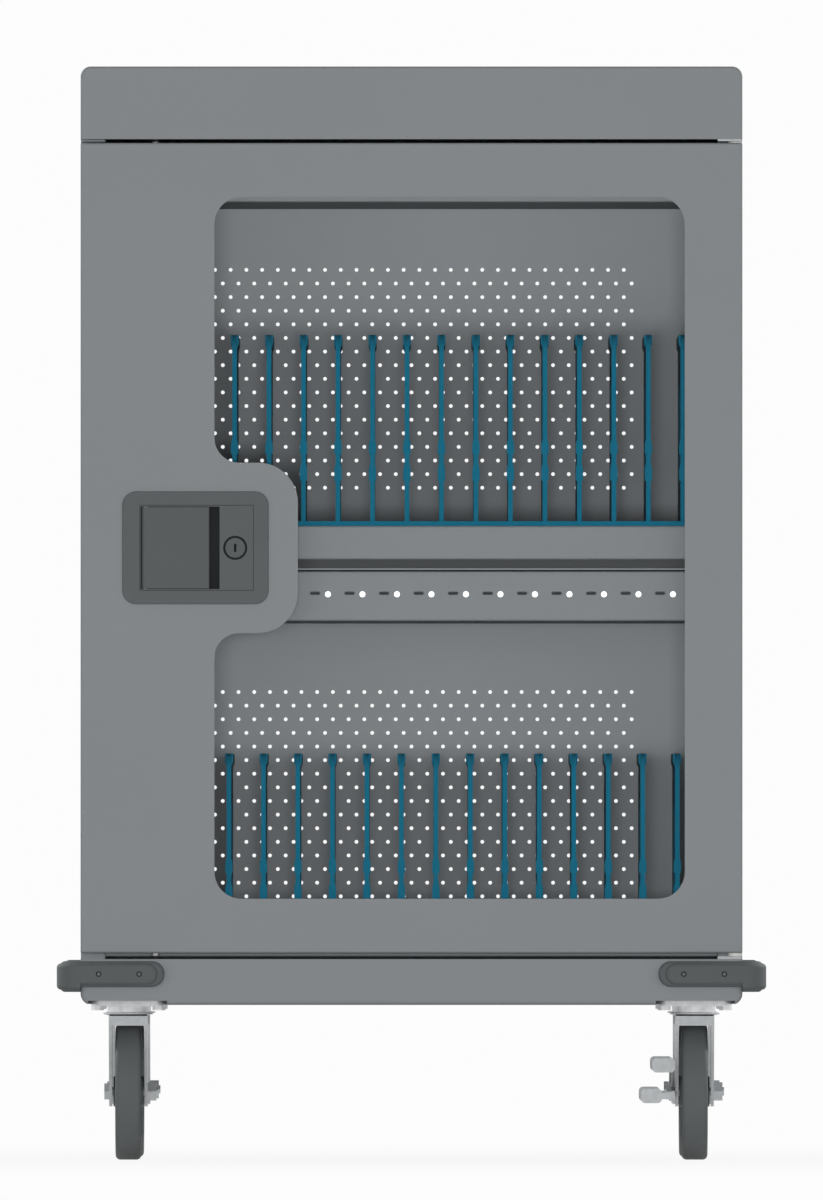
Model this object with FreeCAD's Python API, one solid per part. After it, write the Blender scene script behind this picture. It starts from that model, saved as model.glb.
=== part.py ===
import FreeCAD
import Part
import math
import os
from FreeCAD import Vector

# Charging cabinet on casters, in millimetres. The origin is on the floor under the middle of the cabinet,
# +X is to the right seen from the front, the front faces -Y and +Z is up.

# Overall sizes
body_width = 614.0
body_depth = 500.0
base_underside = 144.4
plinth_height = 42.5
lower_door_gap = 5.7
door_height = 751.5
upper_door_gap = 3.5
cap_height = 67.4
sheet = 1.5
bend_radius = 1.0

# Allowances shared by many pieces
overrun = 3.0
running_gap = 0.3
turning_clearance = 0.05

# Top cap and plinth tray
cap_corner_radius = 9.5
cap_rim_radius = 3.0
plinth_sheet = 2.0
plinth_corner_radius = 10.5
plinth_rim_radius = 5.0
front_flange = 42.0
rim_flange = 20.0
caster_recess = 3.9
recess_margin = 3.0
keeper_clearance = 1.0

# Side panels
side_flange = 23.0
side_lip = 14.0
rear_flange = 18.0
door_depth = 28.0
door_clearance = 2.5

# Perforated rear panels
hole_pitch = 14.80
hole_diameter = 3.5
top_row_drop = 113.2
field_end_margin = 80.0
field_side_margin = 98.0

# Shelf, floor panel and the bays between them
floor_rise = 13.0
shelf_lip = 31.0
floor_lip = 10.6
lip_return = 10.0
shelf_drop = 20.0
shelf_clearance = 2.0
bay_side_margin = 46.0
lid_clearance = 8.3
cap_clearance = 8.6

# Port channels over the bays
channel_height = 46.0
channel_rear_gap = 38.0
channel_setback = 1.5
channel_return = 8.0
channel_rear_wall = 20.0
lid_gap = 1.3
lid_lip = 8.0

# Charging ports, status lights, circuit boards and power supplies
port_width = 9.4
port_height = 3.0
port_wall = 0.4
port_socket_depth = 5.5
port_level = 25.6
port_sink = 0.4
cutout_clearance = 0.15
light_radius = 2.7
light_offset = 11.9
light_drop = 0.9
light_proud = 0.6
light_edge = 0.5
board_gap = 6.5
board_thickness = 1.6
board_height = 38.0
board_overhang = 16.0
supply_width = 240.0
supply_depth = 70.0
supply_height = 34.0
supply_gap = 10.0
supply_edge = 2.0

# Device trays and dividers
slot_pitch = 32.05
upper_tray_shift = -4.2
lower_tray_shift = -9.4
tray_thickness = 4.5
tray_margin = 13.0
tray_rear_gap = 31.5
tray_setback = 8.0
tray_corner_radius = 6.0
divider_height = 173.5
divider_thickness = 4.4
divider_setback = 6.0
divider_rear_setback = 14.0
divider_corner_radius = 22.0
head_width = 7.4
head_height = 8.5
neck_height = 3.5
barb_width = 6.8
barb_depth = 16.0
lower_barb_rise = 37.7
lower_barb_length = 15.8
upper_barb_rise = 62.5
upper_barb_length = 13.6
barb_taper_share = 0.3
tab_length = 40.0
tab_thickness = 3.0
tab_clearance = 0.1
tab_place_shares = (0.15, 0.75)
vent_length = 90.0
vent_width = 22.0
vent_rise = 40.0
vent_place_shares = (0.3, 0.5, 0.7)

# Door, window, seal and pane
door_corner_radius = 1.6
door_rim_radius = 2.5
door_return = 14.0
window_left_margin = 124.2
window_right_margin = 53.5
window_end_margin = 50.3
window_radius = 25.0
notch_reach = 201.6
notch_height = 158.1
notch_outer_radius = 37.0
notch_inner_radius = 23.0
seal_thickness = 1.5
seal_inset = 1.5
pane_overlap = 12.0
pane_thickness = 3.0
clip_width = 14.0
clip_foot = 9.0
clip_reach = 7.0
clip_sheet = 1.2

# Latch housing, paddle and lock
latch_inset = 38.8
latch_width = 135.7
latch_height = 104.7
latch_radius = 13.0
latch_proud = 3.5
latch_edge = 1.2
latch_rim = 11.8
latch_body_radius = 5.0
latch_depth = 21.5
latch_floor = 2.5
latch_fit = 0.4
frame_left_inset = 15.8
frame_right_inset = 13.7
frame_end_inset = 12.5
frame_groove = 0.8
paddle_inset = 17.5
paddle_width = 63.2
paddle_height = 75.4
paddle_thickness = 3.2
paddle_sink = 0.4
paddle_clearance = 0.5
paddle_lip = 7.0
paddle_lip_width = 6.0
knuckle_radius = 4.2
paddle_pin_radius = 2.0
press_clearance = 0.02
finger_gap = 9.5
lock_inset = 31.0
lock_radius = 9.1
lock_ring_radius = 11.2
lock_ring_depth = 5.0
lock_sink = 0.5
key_slot_height = 7.5
key_slot_width = 2.3
key_slot_depth = 8.0
lock_tail_radius = 4.0

# Lock rods and the cam work that throws them
rod_inset = 69.5
rod_radius = 3.5
rod_tip_chamfer = 1.0
rod_tip_share = 0.6
rod_hole_clearance = 0.5
cam_radius = 16.0
cam_thickness = 2.0
cam_pin_circle = 11.0
cam_pin_radius = 2.0
cam_pin_clearance = 0.4
cam_stud_radius = 3.0
link_arm = 13.0
link_width = 8.0
link_thickness = 2.0
link_pin_clearance = 0.12
crank_hub_radius = 6.5
layer_gap = 0.4
foot_thickness = 2.0
foot_margin = 1.8
foot_lug_height = 7.0
rod_start_gap = 3.0
key_turn = 90.0
guide_width = 16.0
guide_height = 12.0
guide_wall = 2.5
guide_place_shares = (0.25, 0.85)

# Pivot hinges
hinge_inset = 7.0
hinge_plate_width = 22.0
hinge_plate_edge = 1.0
upper_plate_thickness = 1.8
lower_plate_thickness = 2.5
hinge_pin_radius = 3.0
hinge_pin_reach = 14.0
bush_radius = 4.8
bush_flange_radius = 6.4
bush_length = 9.0

# Corner bumpers
bumper_out = 22.0
bumper_wing = 78.0
bumper_drop = 1.9
front_wing_height = 23.8
side_wing_height = 28.5
bumper_edge_radius = 4.0
bumper_pad_rise = 3.5
bumper_pad_inset = 2.0
bumper_pad_end = 6.5
pill_share = 0.49
near_screw = 17.0
far_screw = 54.5
dimple_radius = 2.6
dimple_depth = 4.0

# Casters
caster_inset = 43.6
caster_setback = 85.0
plate_width = 67.5
plate_depth = 92.0
plate_thickness = 5.0
plate_corner_radius = 7.0
bolt_spacing_x = 57.0
bolt_spacing_y = 76.0
bolt_radius = 3.0
bolt_head_across = 10.0
bolt_head_height = 4.0
race_radius = 19.0
dust_cap_radius = 23.0
dust_cap_height = 3.0
neck_radius = 16.5
crown_level = 129.0
crown_thickness = 5.0
crown_lip = 4.0
crown_half_depth = 24.0
fork_half_width = 18.0
leg_thickness = 3.0
leg_boss_radius = 14.0
king_pin_radius = 6.0
king_pin_head_radius = 9.0
king_pin_head_height = 2.5
wheel_radius = 63.5
wheel_trail = 38.0
tyre_half_width = 12.0
tyre_shoulder_radius = 4.5
tyre_fit = 0.05
rim_radius = 46.0
rim_half_width = 10.0
rim_depth = 5.0
hub_radius = 13.75
hub_half_width = 14.0
web_half_width = 4.0
hub_flare = 4.0
axle_radius = 4.0
axle_head_across = 15.0
axle_head_height = 4.5
axle_nut_across = 17.0
axle_nut_height = 8.0
axle_end = 1.5

# Brake levers
lever_thickness = 3.0
lever_gap = 0.5
lever_boss_radius = 11.0
lever_arm_width = 9.0
lever_reach = 34.0
pad_thickness = 4.0
pad_height = 13.5
pad_radius = 4.0
upper_pad_width = 21.0
upper_pad_rise = 24.5
lower_pad_width = 31.5
lower_pad_drop = 4.0
pad_neck_height = 6.0
pad_neck_length = 12.0

# Mains inlet and wire duct
inlet_inset = 62.0
inlet_rise = 31.0
inlet_width = 27.0
inlet_height = 19.8
inlet_depth = 16.0
inlet_corner = 5.0
inlet_wall = 1.6
inlet_flange_width = 50.0
inlet_flange_height = 24.0
inlet_flange_thickness = 2.5
inlet_flange_radius = 4.0
inlet_pin_width = 2.0
inlet_pin_height = 4.0
inlet_pin_spacing = 7.0
inlet_pin_offset = 2.0
duct_width = 26.0
duct_depth = 30.0
duct_notch_clearance = 1.0

# Places worked out from the sizes
half_width = body_width / 2
inner_half = half_width - sheet
front = -body_depth / 2
rear = body_depth / 2
panel_rear = rear - sheet
plinth_top = base_underside + plinth_height
door_bottom = plinth_top + lower_door_gap
door_top = door_bottom + door_height
door_middle = (door_bottom + door_top) / 2
cap_bottom = door_top + upper_door_gap
cap_top = cap_bottom + cap_height
door_rear = front + door_depth
skin_back = front + sheet
cabinet_front = door_rear + door_clearance
shelf_front = cabinet_front + side_lip + shelf_clearance
shelf_rear = panel_rear - sheet - bend_radius
floor_top = plinth_top + floor_rise
channel_stack = channel_height + lid_gap + sheet
shelf_stack = lid_clearance + shelf_lip
bay_clear_height = (cap_bottom - cap_clearance - floor_top - shelf_stack) / 2 - channel_stack
bay_pitch = bay_clear_height + channel_stack + shelf_stack
shelf_top = floor_top + bay_pitch
duct_front = shelf_rear - duct_depth
channel_front = shelf_front + channel_setback
channel_rear = duct_front - channel_rear_gap
board_front = channel_front + sheet + board_gap
tray_front = shelf_front + tray_setback
tray_rear = duct_front - tray_rear_gap
divider_front = tray_front + divider_setback
divider_rear = tray_rear - divider_rear_setback
divider_depth = divider_rear - divider_front
slots_per_tray = int((body_width - 2 * bay_side_margin) / slot_pitch)
row_pitch = hole_pitch * math.sin(math.radians(60))
rows_per_field = int((bay_clear_height - field_end_margin) / row_pitch)
lower_field_row = math.ceil(bay_pitch / row_pitch)
holes_in_short_row = int((body_width - 2 * field_side_margin) / hole_pitch)
bay_levels = {"upper": shelf_top, "lower": floor_top}
tray_shifts = {"upper": upper_tray_shift, "lower": lower_tray_shift}

latch_left = -half_width + latch_inset
latch_right = latch_left + latch_width
latch_face = front - latch_proud
latch_back = latch_face + latch_depth
paddle_left = latch_left + paddle_inset
paddle_right = paddle_left + paddle_width
paddle_face = latch_face + paddle_sink
paddle_pin_x = paddle_left + knuckle_radius
paddle_pin_y = paddle_face + knuckle_radius
pocket_half = paddle_height / 2 + paddle_clearance
lock_x = latch_right - lock_inset
link_front = latch_back + layer_gap
cam_front = link_front + link_thickness + layer_gap
cam_back = cam_front + cam_thickness
foot_front = cam_back + layer_gap
foot_back = foot_front + foot_thickness
rod_x = -half_width + rod_inset
rod_y = (foot_front + foot_back) / 2
half_turn = math.radians(key_turn / 2)

hinge_x = half_width - hinge_inset
hinge_y = front + door_depth / 2

bumper_top = plinth_top - bumper_drop
front_wing_bottom = bumper_top - front_wing_height
side_wing_bottom = bumper_top - side_wing_height
bumper_screw_level = bumper_top - front_wing_height / 2

caster_x = half_width - caster_inset
caster_y = rear - caster_setback
plate_top = base_underside + caster_recess
plate_bottom = plate_top - plate_thickness
dust_cap_top = crown_level + crown_thickness + dust_cap_height
leg_inner = fork_half_width - leg_thickness
lever_face = -fork_half_width - lever_gap - lever_thickness


def facing(y):
    """Places a flat outline in an upright plane that faces the front."""
    return lambda u, v: Vector(u, y, v)


def level(z):
    """Places a flat outline in a level plane."""
    return lambda u, v: Vector(u, v, z)


def sideways(x):
    """Places a flat outline in an upright plane that faces the side."""
    return lambda u, v: Vector(x, u, v)


def box(x0, x1, y0, y1, z0, z1):
    """A block between two corners."""
    return Part.makeBox(x1 - x0, y1 - y0, z1 - z0, Vector(x0, y0, z0))


def bar(radius, start, end):
    """A round bar from one point to another."""
    along = end - start
    return Part.makeCylinder(radius, along.Length, start, along)


def crosswise(radius, y, z, x0, x1):
    """A round bar from side to side."""
    return bar(radius, Vector(x0, y, z), Vector(x1, y, z))


def lengthwise(radius, x, z, y0, y1):
    """A round bar from front to rear."""
    return bar(radius, Vector(x, y0, z), Vector(x, y1, z))


def upright(radius, x, y, z0, z1):
    """A round bar that stands upright."""
    return bar(radius, Vector(x, y, z0), Vector(x, y, z1))


def rectangle(u0, u1, v0, v1):
    """The corner points of a rectangle."""
    return [(u0, v0), (u1, v0), (u1, v1), (u0, v1)]


def outline(points, radii, place):
    """A closed wire through points, with each corner rounded by its radius."""
    ends = []
    count = len(points)
    for i in range(count):
        corner = Vector(*points[i], 0)
        back = (Vector(*points[i - 1], 0) - corner).normalize()
        ahead = (Vector(*points[(i + 1) % count], 0) - corner).normalize()
        half = back.getAngle(ahead) / 2
        run = radii[i] / math.tan(half)
        middle = corner
        if radii[i]:
            inward = (back + ahead).normalize()
            middle = corner + inward * (radii[i] / math.sin(half) - radii[i])
        ends.append((corner + back * run, middle, corner + ahead * run))
    spots = [[place(p.x, p.y) for p in corner] for corner in ends]
    edges = []
    for i in range(count):
        first, middle, last = spots[i]
        if radii[i]:
            edges.append(Part.Arc(first, middle, last).toShape())
        following = spots[(i + 1) % count][0]
        if last.distanceToPoint(following) > Part.Precision.confusion():
            edges.append(Part.makeLine(last, following))
    return Part.Wire(edges)


def prism(points, radii, place, along):
    """A rounded outline drawn out along a vector."""
    return Part.Face(outline(points, radii, place)).extrude(along)


def pierced(outer, holes, along):
    """A sheet with many holes, drawn out along a vector."""
    return Part.makeFace([outer, *holes], "Part::FaceMakerBullseye").extrude(along)


def folded(points, thickness, place, along):
    """A sheet bent along a line of points, with its thickness to the left of the line."""
    line = [Vector(*p, 0) for p in points]
    runs = [(line[i + 1] - line[i]).normalize() for i in range(len(line) - 1)]
    lefts = [Vector(-r.y, r.x, 0) for r in runs]
    other = [line[0] + lefts[0] * thickness]
    for i in range(1, len(line) - 1):
        mitre = (lefts[i - 1] + lefts[i]) * (thickness / (1 + lefts[i - 1].dot(lefts[i])))
        other.append(line[i] + mitre)
    other.append(line[-1] + lefts[-1] * thickness)
    turns = [runs[i].cross(runs[i + 1]).z for i in range(len(runs) - 1)]
    near = [0, *[bend_radius + (thickness if t > 0 else 0) for t in turns], 0]
    far = [0, *[bend_radius + (thickness if t < 0 else 0) for t in turns], 0]
    closed = [(p.x, p.y) for p in line + other[::-1]]
    return prism(closed, near + far[::-1], place, along)


def hood(half, y0, y1, square_level, round_level, corner, rim):
    """A block across the cabinet with two rounded long edges, and softened front and rear rims."""
    points = rectangle(-half, half, square_level, round_level)
    block = prism(points, [0, 0, corner, corner], facing(y0), Vector(0, y1 - y0, 0))
    rims = []
    for edge in block.Edges:
        limits = edge.BoundBox
        at_end = limits.YLength < overrun
        square = abs(limits.Center.z - square_level) < Part.Precision.confusion()
        if at_end and not square:
            rims.append(edge)
    return block.makeFillet(rim, rims)


def hexagon(across, place, along):
    """A hexagonal bar, measured across its flats."""
    far = across / 2 / math.cos(math.radians(30))
    turns = [math.radians(60) * i for i in range(6)]
    points = [(far * math.cos(t), far * math.sin(t)) for t in turns]
    return prism(points, [0] * len(points), place, along)


def left_and_right(shape):
    """A shape and its mirror image across the cabinet."""
    return [shape.mirror(Vector(), Vector(1, 0, 0)), shape]


def rod_hole(level_low, level_high):
    """The hole that a lock rod is thrown into."""
    radius = rod_radius + keeper_clearance
    return upright(radius, rod_x, rod_y, level_low - overrun, level_high + overrun)


def top_cap():
    """The folded cap, open below behind an inward flange."""
    outer = hood(half_width, front, rear, cap_bottom, cap_top, cap_corner_radius, cap_rim_radius)
    inner = hood(
        inner_half, front + sheet, panel_rear, cap_bottom + sheet, cap_top - sheet,
        cap_corner_radius - sheet, cap_rim_radius - sheet,
    )
    reach = half_width - rim_flange
    mouth = box(
        -reach, reach, front + front_flange, rear - rim_flange,
        cap_bottom - overrun, cap_bottom + overrun,
    )
    return outer.cut(inner).cut(mouth).cut(rod_hole(cap_bottom, cap_bottom + sheet))


def caster_pocket(x_sign, y_sign, growth):
    """The space of one pressed pocket for a caster plate, open at the nearer end of the plinth."""
    half = plate_width / 2 + recess_margin + growth
    inner_y = caster_y - plate_depth / 2 - recess_margin - growth
    ends = sorted([y_sign * inner_y, y_sign * (rear + overrun)])
    x = x_sign * caster_x
    return box(x - half, x + half, *ends, base_underside - overrun, plate_top + growth)


def plinth_tray():
    """The plinth, a tray with a flange round its open top and a pocket pressed up at each caster."""
    outer = hood(
        half_width, front, rear, plinth_top, base_underside, plinth_corner_radius, plinth_rim_radius,
    )
    wall = plinth_sheet
    inner = hood(
        half_width - wall, front + wall, rear - wall, plinth_top - wall, base_underside + wall,
        plinth_corner_radius - wall, plinth_rim_radius - wall,
    )
    signs = [(x, y) for x in (-1, 1) for y in (-1, 1)]
    inner = inner.cut([caster_pocket(x, y, wall) for x, y in signs])
    reach = half_width - rim_flange
    mouth = box(
        -reach, reach, front + front_flange, rear - rim_flange,
        plinth_top - wall - overrun, plinth_top + overrun,
    )
    pockets = [caster_pocket(x, y, 0) for x, y in signs]
    radius = bolt_radius + turning_clearance
    holes = []
    for x, y in signs:
        holes += bolt_places(x * caster_x, y * caster_y, radius, plate_top, plate_top + wall)
    return outer.cut(inner).cut([mouth, *pockets, rod_hole(plinth_top - wall, plinth_top), *holes])


def side_panel():
    """The right side, a sheet folded in at the front and rear."""
    inner_edge = half_width - side_flange
    points = [
        (inner_edge, cabinet_front + side_lip),
        (inner_edge, cabinet_front),
        (half_width, cabinet_front),
        (half_width, panel_rear),
        (half_width - rear_flange, panel_rear),
    ]
    return folded(points, sheet, level(plinth_top), Vector(0, 0, cap_bottom - plinth_top))


def perforations(first_row):
    """The round holes of one field, in rows set over by half a pitch."""
    holes = []
    for row in range(first_row, first_row + rows_per_field):
        count = holes_in_short_row + row % 2
        z = cap_bottom - top_row_drop - row * row_pitch
        for i in range(count):
            x = (i - (count - 1) / 2) * hole_pitch
            circle = Part.Circle(Vector(x, panel_rear, z), Vector(0, 1, 0), hole_diameter / 2)
            holes.append(Part.Wire(circle.toShape()))
    return holes


def rear_panel(low, high, first_row):
    """A flat panel with a perforated field."""
    edge = outline(rectangle(-half_width, half_width, low, high), [0] * 4, facing(panel_rear))
    return pierced(edge, perforations(first_row), Vector(0, sheet, 0))


def inlet_place():
    """Where the mains inlet sits in the lower rear panel."""
    return half_width - inlet_inset, plinth_top + inlet_rise


def lower_rear_panel():
    """The lower panel, with the opening for the mains inlet."""
    x, z = inlet_place()
    half = inlet_width / 2 + cutout_clearance
    tall = inlet_height / 2 + cutout_clearance
    opening = box(x - half, x + half, panel_rear - overrun, rear + overrun, z - tall, z + tall)
    return rear_panel(plinth_top, door_middle, lower_field_row).cut(opening)


def shelf(top, front_lip, rear_lip, side_drop):
    """A level sheet with lips down all round."""
    points = [
        (shelf_rear, top - rear_lip),
        (shelf_rear, top),
        (shelf_front, top),
        (shelf_front, top - front_lip),
        (shelf_front + lip_return, top - front_lip),
    ]
    body = folded(points, sheet, sideways(-inner_half), Vector(2 * inner_half, 0, 0))
    inner_x = inner_half - sheet
    flange = box(
        inner_x, inner_half, shelf_front + lip_return, shelf_rear - sheet,
        top - side_drop, top - sheet,
    )
    return body.fuse(left_and_right(flange)).removeSplitter()


def middle_shelf():
    """The shelf of the upper bay, notched for the wire duct."""
    gap = duct_notch_clearance
    notch = box(
        inner_half - duct_width - gap, inner_half + overrun,
        duct_front - gap, shelf_rear + overrun,
        shelf_top - shelf_lip - overrun, shelf_top + overrun,
    )
    return shelf(shelf_top, shelf_lip, shelf_drop, shelf_drop).cut(notch)


def slot_centres(bay):
    """The middle of each device slot of a bay, along X."""
    return [tray_shifts[bay] + (i - (slots_per_tray - 1) / 2) * slot_pitch for i in range(slots_per_tray)]


def divider_places(bay):
    """Where the dividers of a bay stand, along X."""
    return [tray_shifts[bay] + (i - slots_per_tray / 2) * slot_pitch for i in range(slots_per_tray + 1)]


def port_slot(x, z, growth, y0, y1):
    """A bar with the rounded section of a charging port."""
    wide = port_width / 2 + growth
    tall = port_height / 2 + growth
    points = rectangle(x - wide, x + wide, z - tall, z + tall)
    return prism(points, [tall * 2 * pill_share] * 4, facing(y0), Vector(0, y1 - y0, 0))


def channel_bottom(bay):
    """The underside of the port channel over a bay."""
    return bay_levels[bay] + bay_clear_height


def port_channel(bay):
    """The channel over a bay, open at the rear and on top, with cut-outs for ports and lights."""
    bottom = channel_bottom(bay)
    top = bottom + channel_height
    points = [
        (channel_front + channel_return, top),
        (channel_front, top),
        (channel_front, bottom),
        (channel_rear, bottom),
        (channel_rear, bottom + channel_rear_wall),
    ]
    body = folded(points, sheet, sideways(-inner_half), Vector(2 * inner_half, 0, 0))
    z = bottom + port_level
    y0 = channel_front - overrun
    y1 = channel_front + sheet + overrun
    cuts = []
    for x in slot_centres(bay):
        cuts.append(port_slot(x, z, cutout_clearance, y0, y1))
        cuts.append(lengthwise(light_radius + cutout_clearance, x + light_offset, z - light_drop, y0, y1))
    return body.cut(cuts)


def channel_lid(bay):
    """The lid over a port channel, turned down at the rear."""
    top = channel_bottom(bay) + channel_height + lid_gap + sheet
    points = [(channel_rear, top - lid_lip), (channel_rear, top), (channel_front, top)]
    return folded(points, sheet, sideways(-inner_half), Vector(2 * inner_half, 0, 0))


def port_board(bay):
    """The circuit board behind the ports, standing on the channel's floor."""
    places = slot_centres(bay)
    bottom = channel_bottom(bay) + sheet
    return box(
        places[0] - board_overhang, places[-1] + board_overhang,
        board_front, board_front + board_thickness, bottom, bottom + board_height,
    )


def charging_port(x, z):
    """A port shell with an open socket."""
    face = channel_front + port_sink
    shell = port_slot(x, z, 0, face, board_front)
    return shell.cut(port_slot(x, z, -port_wall, face - overrun, face + port_socket_depth))


def status_light(x, z):
    """A light pipe with a softened end."""
    face = channel_front - light_proud
    pipe = lengthwise(light_radius, x, z, face, board_front)
    ends = [e for e in pipe.Edges if e.BoundBox.YMax < channel_front]
    return pipe.makeFillet(light_edge, ends)


def power_supply(bay):
    """A closed power supply on the channel's floor."""
    bottom = channel_bottom(bay) + sheet
    y0 = board_front + board_thickness + supply_gap
    half = supply_width / 2
    case = box(-half, half, y0, y0 + supply_depth, bottom, bottom + supply_height)
    return case.makeFillet(supply_edge, [e for e in case.Edges if e.BoundBox.ZMin > bottom])


def tab_spans():
    """The stretches along Y where a divider plugs into its tray."""
    starts = [divider_front + share * divider_depth for share in tab_place_shares]
    return [(start, start + tab_length) for start in starts]


def tray(bay):
    """A flat tray with two slots under each divider."""
    places = divider_places(bay)
    gap = tab_clearance
    base = bay_levels[bay]
    edge = rectangle(
        places[0] - tray_margin, places[-1] + tray_margin, tray_front, tray_rear,
    )
    half = tab_thickness / 2 + gap
    slots = []
    for x in places:
        for y0, y1 in tab_spans():
            slots.append(outline(rectangle(x - half, x + half, y0 - gap, y1 + gap), [0] * 4, level(base)))
    rim = outline(edge, [tray_corner_radius] * 4, level(base))
    return pierced(rim, slots, Vector(0, 0, tray_thickness))


def barb(base, length):
    """A cable barb on a divider's front edge, square below and tapered above."""
    thin = divider_thickness / 2
    wide = barb_width / 2
    knee = base + length * (1 - barb_taper_share)
    top = base + length
    points = [(-wide, base), (wide, base), (wide, knee), (thin, top), (-thin, top), (-wide, knee)]
    return prism(points, [0] * len(points), facing(divider_front), Vector(0, barb_depth, 0))


def divider(base):
    """A moulded divider with a beaded head, vents, two cable barbs and plug-in tabs."""
    thin = divider_thickness / 2
    top = base + divider_height
    corner = divider_corner_radius
    edge = rectangle(divider_front, divider_rear, base, top)
    sides = outline(edge, [0, 0, corner, corner], sideways(-thin))
    vents = []
    for share in vent_place_shares:
        middle = divider_front + share * divider_depth
        z0 = base + vent_rise
        points = rectangle(middle - vent_width / 2, middle + vent_width / 2, z0, z0 + vent_length)
        vents.append(outline(points, [vent_width * pill_share] * 4, sideways(-thin)))
    plate = pierced(sides, vents, Vector(divider_thickness, 0, 0))
    wide = head_width / 2
    head = top - head_height
    neck = head - neck_height
    points = [(-thin, neck), (thin, neck), (wide, head), (wide, top), (-wide, top), (-wide, head)]
    run = divider_depth - 2 * corner
    bead = prism(points, [0] * len(points), facing(divider_front + corner), Vector(0, run, 0))
    barbs = [barb(base + lower_barb_rise, lower_barb_length), barb(base + upper_barb_rise, upper_barb_length)]
    half_tab = tab_thickness / 2
    tabs = [box(-half_tab, half_tab, y0, y1, base - tray_thickness, base + overrun) for y0, y1 in tab_spans()]
    return plate.fuse([bead, *barbs, *tabs]).removeSplitter()


def dividers(bay):
    """The row of dividers of one bay."""
    one = divider(bay_levels[bay] + tray_thickness)
    return [one.translated(Vector(x, 0, 0)) for x in divider_places(bay)]


def mains_inlet():
    """A flanged appliance inlet with three blades."""
    x, z = inlet_place()
    half = inlet_width / 2
    tall = inlet_height / 2
    half_flange = inlet_flange_width / 2
    tall_flange = inlet_flange_height / 2
    edge = rectangle(x - half_flange, x + half_flange, z - tall_flange, z + tall_flange)
    flange = prism(edge, [inlet_flange_radius] * 4, facing(rear), Vector(0, inlet_flange_thickness, 0))
    body = box(x - half, x + half, rear - inlet_depth, rear + inlet_flange_thickness, z - tall, z + tall)
    wide = half - inlet_wall
    high = tall - inlet_wall
    corner = inlet_corner
    well_points = [
        (x - wide, z - high), (x + wide, z - high), (x + wide, z + high - corner),
        (x + wide - corner, z + high), (x - wide + corner, z + high), (x - wide, z + high - corner),
    ]
    floor_y = rear - inlet_depth + inlet_wall
    run = inlet_depth + inlet_flange_thickness
    well = prism(well_points, [0] * len(well_points), facing(floor_y), Vector(0, run, 0))
    shell = flange.fuse(body).cut(well)
    pins = []
    for step in (-1, 0, 1):
        pin_x = x + step * inlet_pin_spacing
        pin_z = z + (inlet_pin_offset if step == 0 else -inlet_pin_offset)
        thin = inlet_pin_width / 2
        deep = inlet_pin_height / 2
        pins.append(box(pin_x - thin, pin_x + thin, floor_y, rear - inlet_wall, pin_z - deep, pin_z + deep))
    return [shell, *pins]


def wire_duct():
    """The folded cover in the rear right corner that the wiring runs behind."""
    inner_x = inner_half - duct_width
    points = [(inner_x, shelf_rear), (inner_x, duct_front), (inner_half, duct_front)]
    return folded(points, sheet, level(floor_top), Vector(0, 0, channel_bottom("upper") - floor_top))


def bumper_section(low, inset, out):
    """A layer of a bumper's section, standing out from the front of the plinth at its right end."""
    points = [
        (front, low + inset), (front - out, low + inset),
        (front - out, bumper_top - inset), (front, bumper_top - inset),
    ]
    round_edge = bumper_edge_radius
    return Part.Face(outline(points, [0, round_edge, round_edge, 0], sideways(half_width)))


def bumper_layer(low, inset, end_inset, out):
    """A layer of a wing along the front of the plinth, pill-shaped at its end and rounded at its rim."""
    points = rectangle(
        half_width - bumper_wing + end_inset, half_width, low + inset, bumper_top - inset,
    )
    end_radius = (bumper_top - low - 2 * inset) * pill_share
    wing = prism(points, [end_radius, 0, 0, end_radius], facing(front), Vector(0, -out, 0))
    rim = []
    for edge in wing.Edges:
        limits = edge.BoundBox
        if limits.YMax < front - out / 2 and limits.XMin < half_width - overrun:
            rim.append(edge)
    return wing.makeFillet(bumper_edge_radius, rim)


def bumper():
    """The front right corner bumper: two wings round a corner, each a base with a raised pad."""
    corner_axis = Vector(half_width, front, 0)
    layers = (
        (0, 0, bumper_out - bumper_pad_rise),
        (bumper_pad_inset, bumper_pad_end, bumper_out),
    )
    pieces = []
    for inset, end_inset, out in layers:
        pieces.append(bumper_layer(front_wing_bottom, inset, end_inset, out))
        section = bumper_section(side_wing_bottom, inset, out)
        pieces.append(section.revolve(corner_axis, Vector(0, 0, 1), 90))
        side = bumper_layer(side_wing_bottom, inset, end_inset, out)
        side = side.mirror(corner_axis, Vector(1, 0, 0))
        side.rotate(corner_axis, Vector(0, 0, 1), 90)
        pieces.append(side)
    front_out = front - bumper_out
    side_out = half_width + bumper_out
    z = bumper_screw_level
    dimples = []
    for inset in (near_screw, far_screw):
        x = half_width - inset
        dimples.append(lengthwise(dimple_radius, x, z, front_out - overrun, front_out + dimple_depth))
        y = front + inset
        dimples.append(crosswise(dimple_radius, y, z, side_out - dimple_depth, side_out + overrun))
    return pieces[0].fuse(pieces[1:]).removeSplitter().cut(dimples)


def window_points(outset):
    """The window outline, grown by outset, with its corner radii."""
    left = -half_width + window_left_margin - outset
    right = half_width - window_right_margin + outset
    low = door_bottom + window_end_margin - outset
    high = door_top - window_end_margin + outset
    notch_x = -half_width + notch_reach - outset
    notch_low = door_middle - notch_height / 2 + outset
    notch_high = door_middle + notch_height / 2 - outset
    points = [
        (left, low), (right, low), (right, high), (left, high),
        (left, notch_high), (notch_x, notch_high), (notch_x, notch_low), (left, notch_low),
    ]
    corner = window_radius + outset
    inner = notch_inner_radius + outset
    outer = notch_outer_radius - outset
    return points, [corner, corner, corner, corner, inner, outer, outer, inner]


def window_prism(outset, y0, y1):
    """A block with the window's outline."""
    points, radii = window_points(outset)
    return prism(points, radii, facing(y0), Vector(0, y1 - y0, 0))


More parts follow.
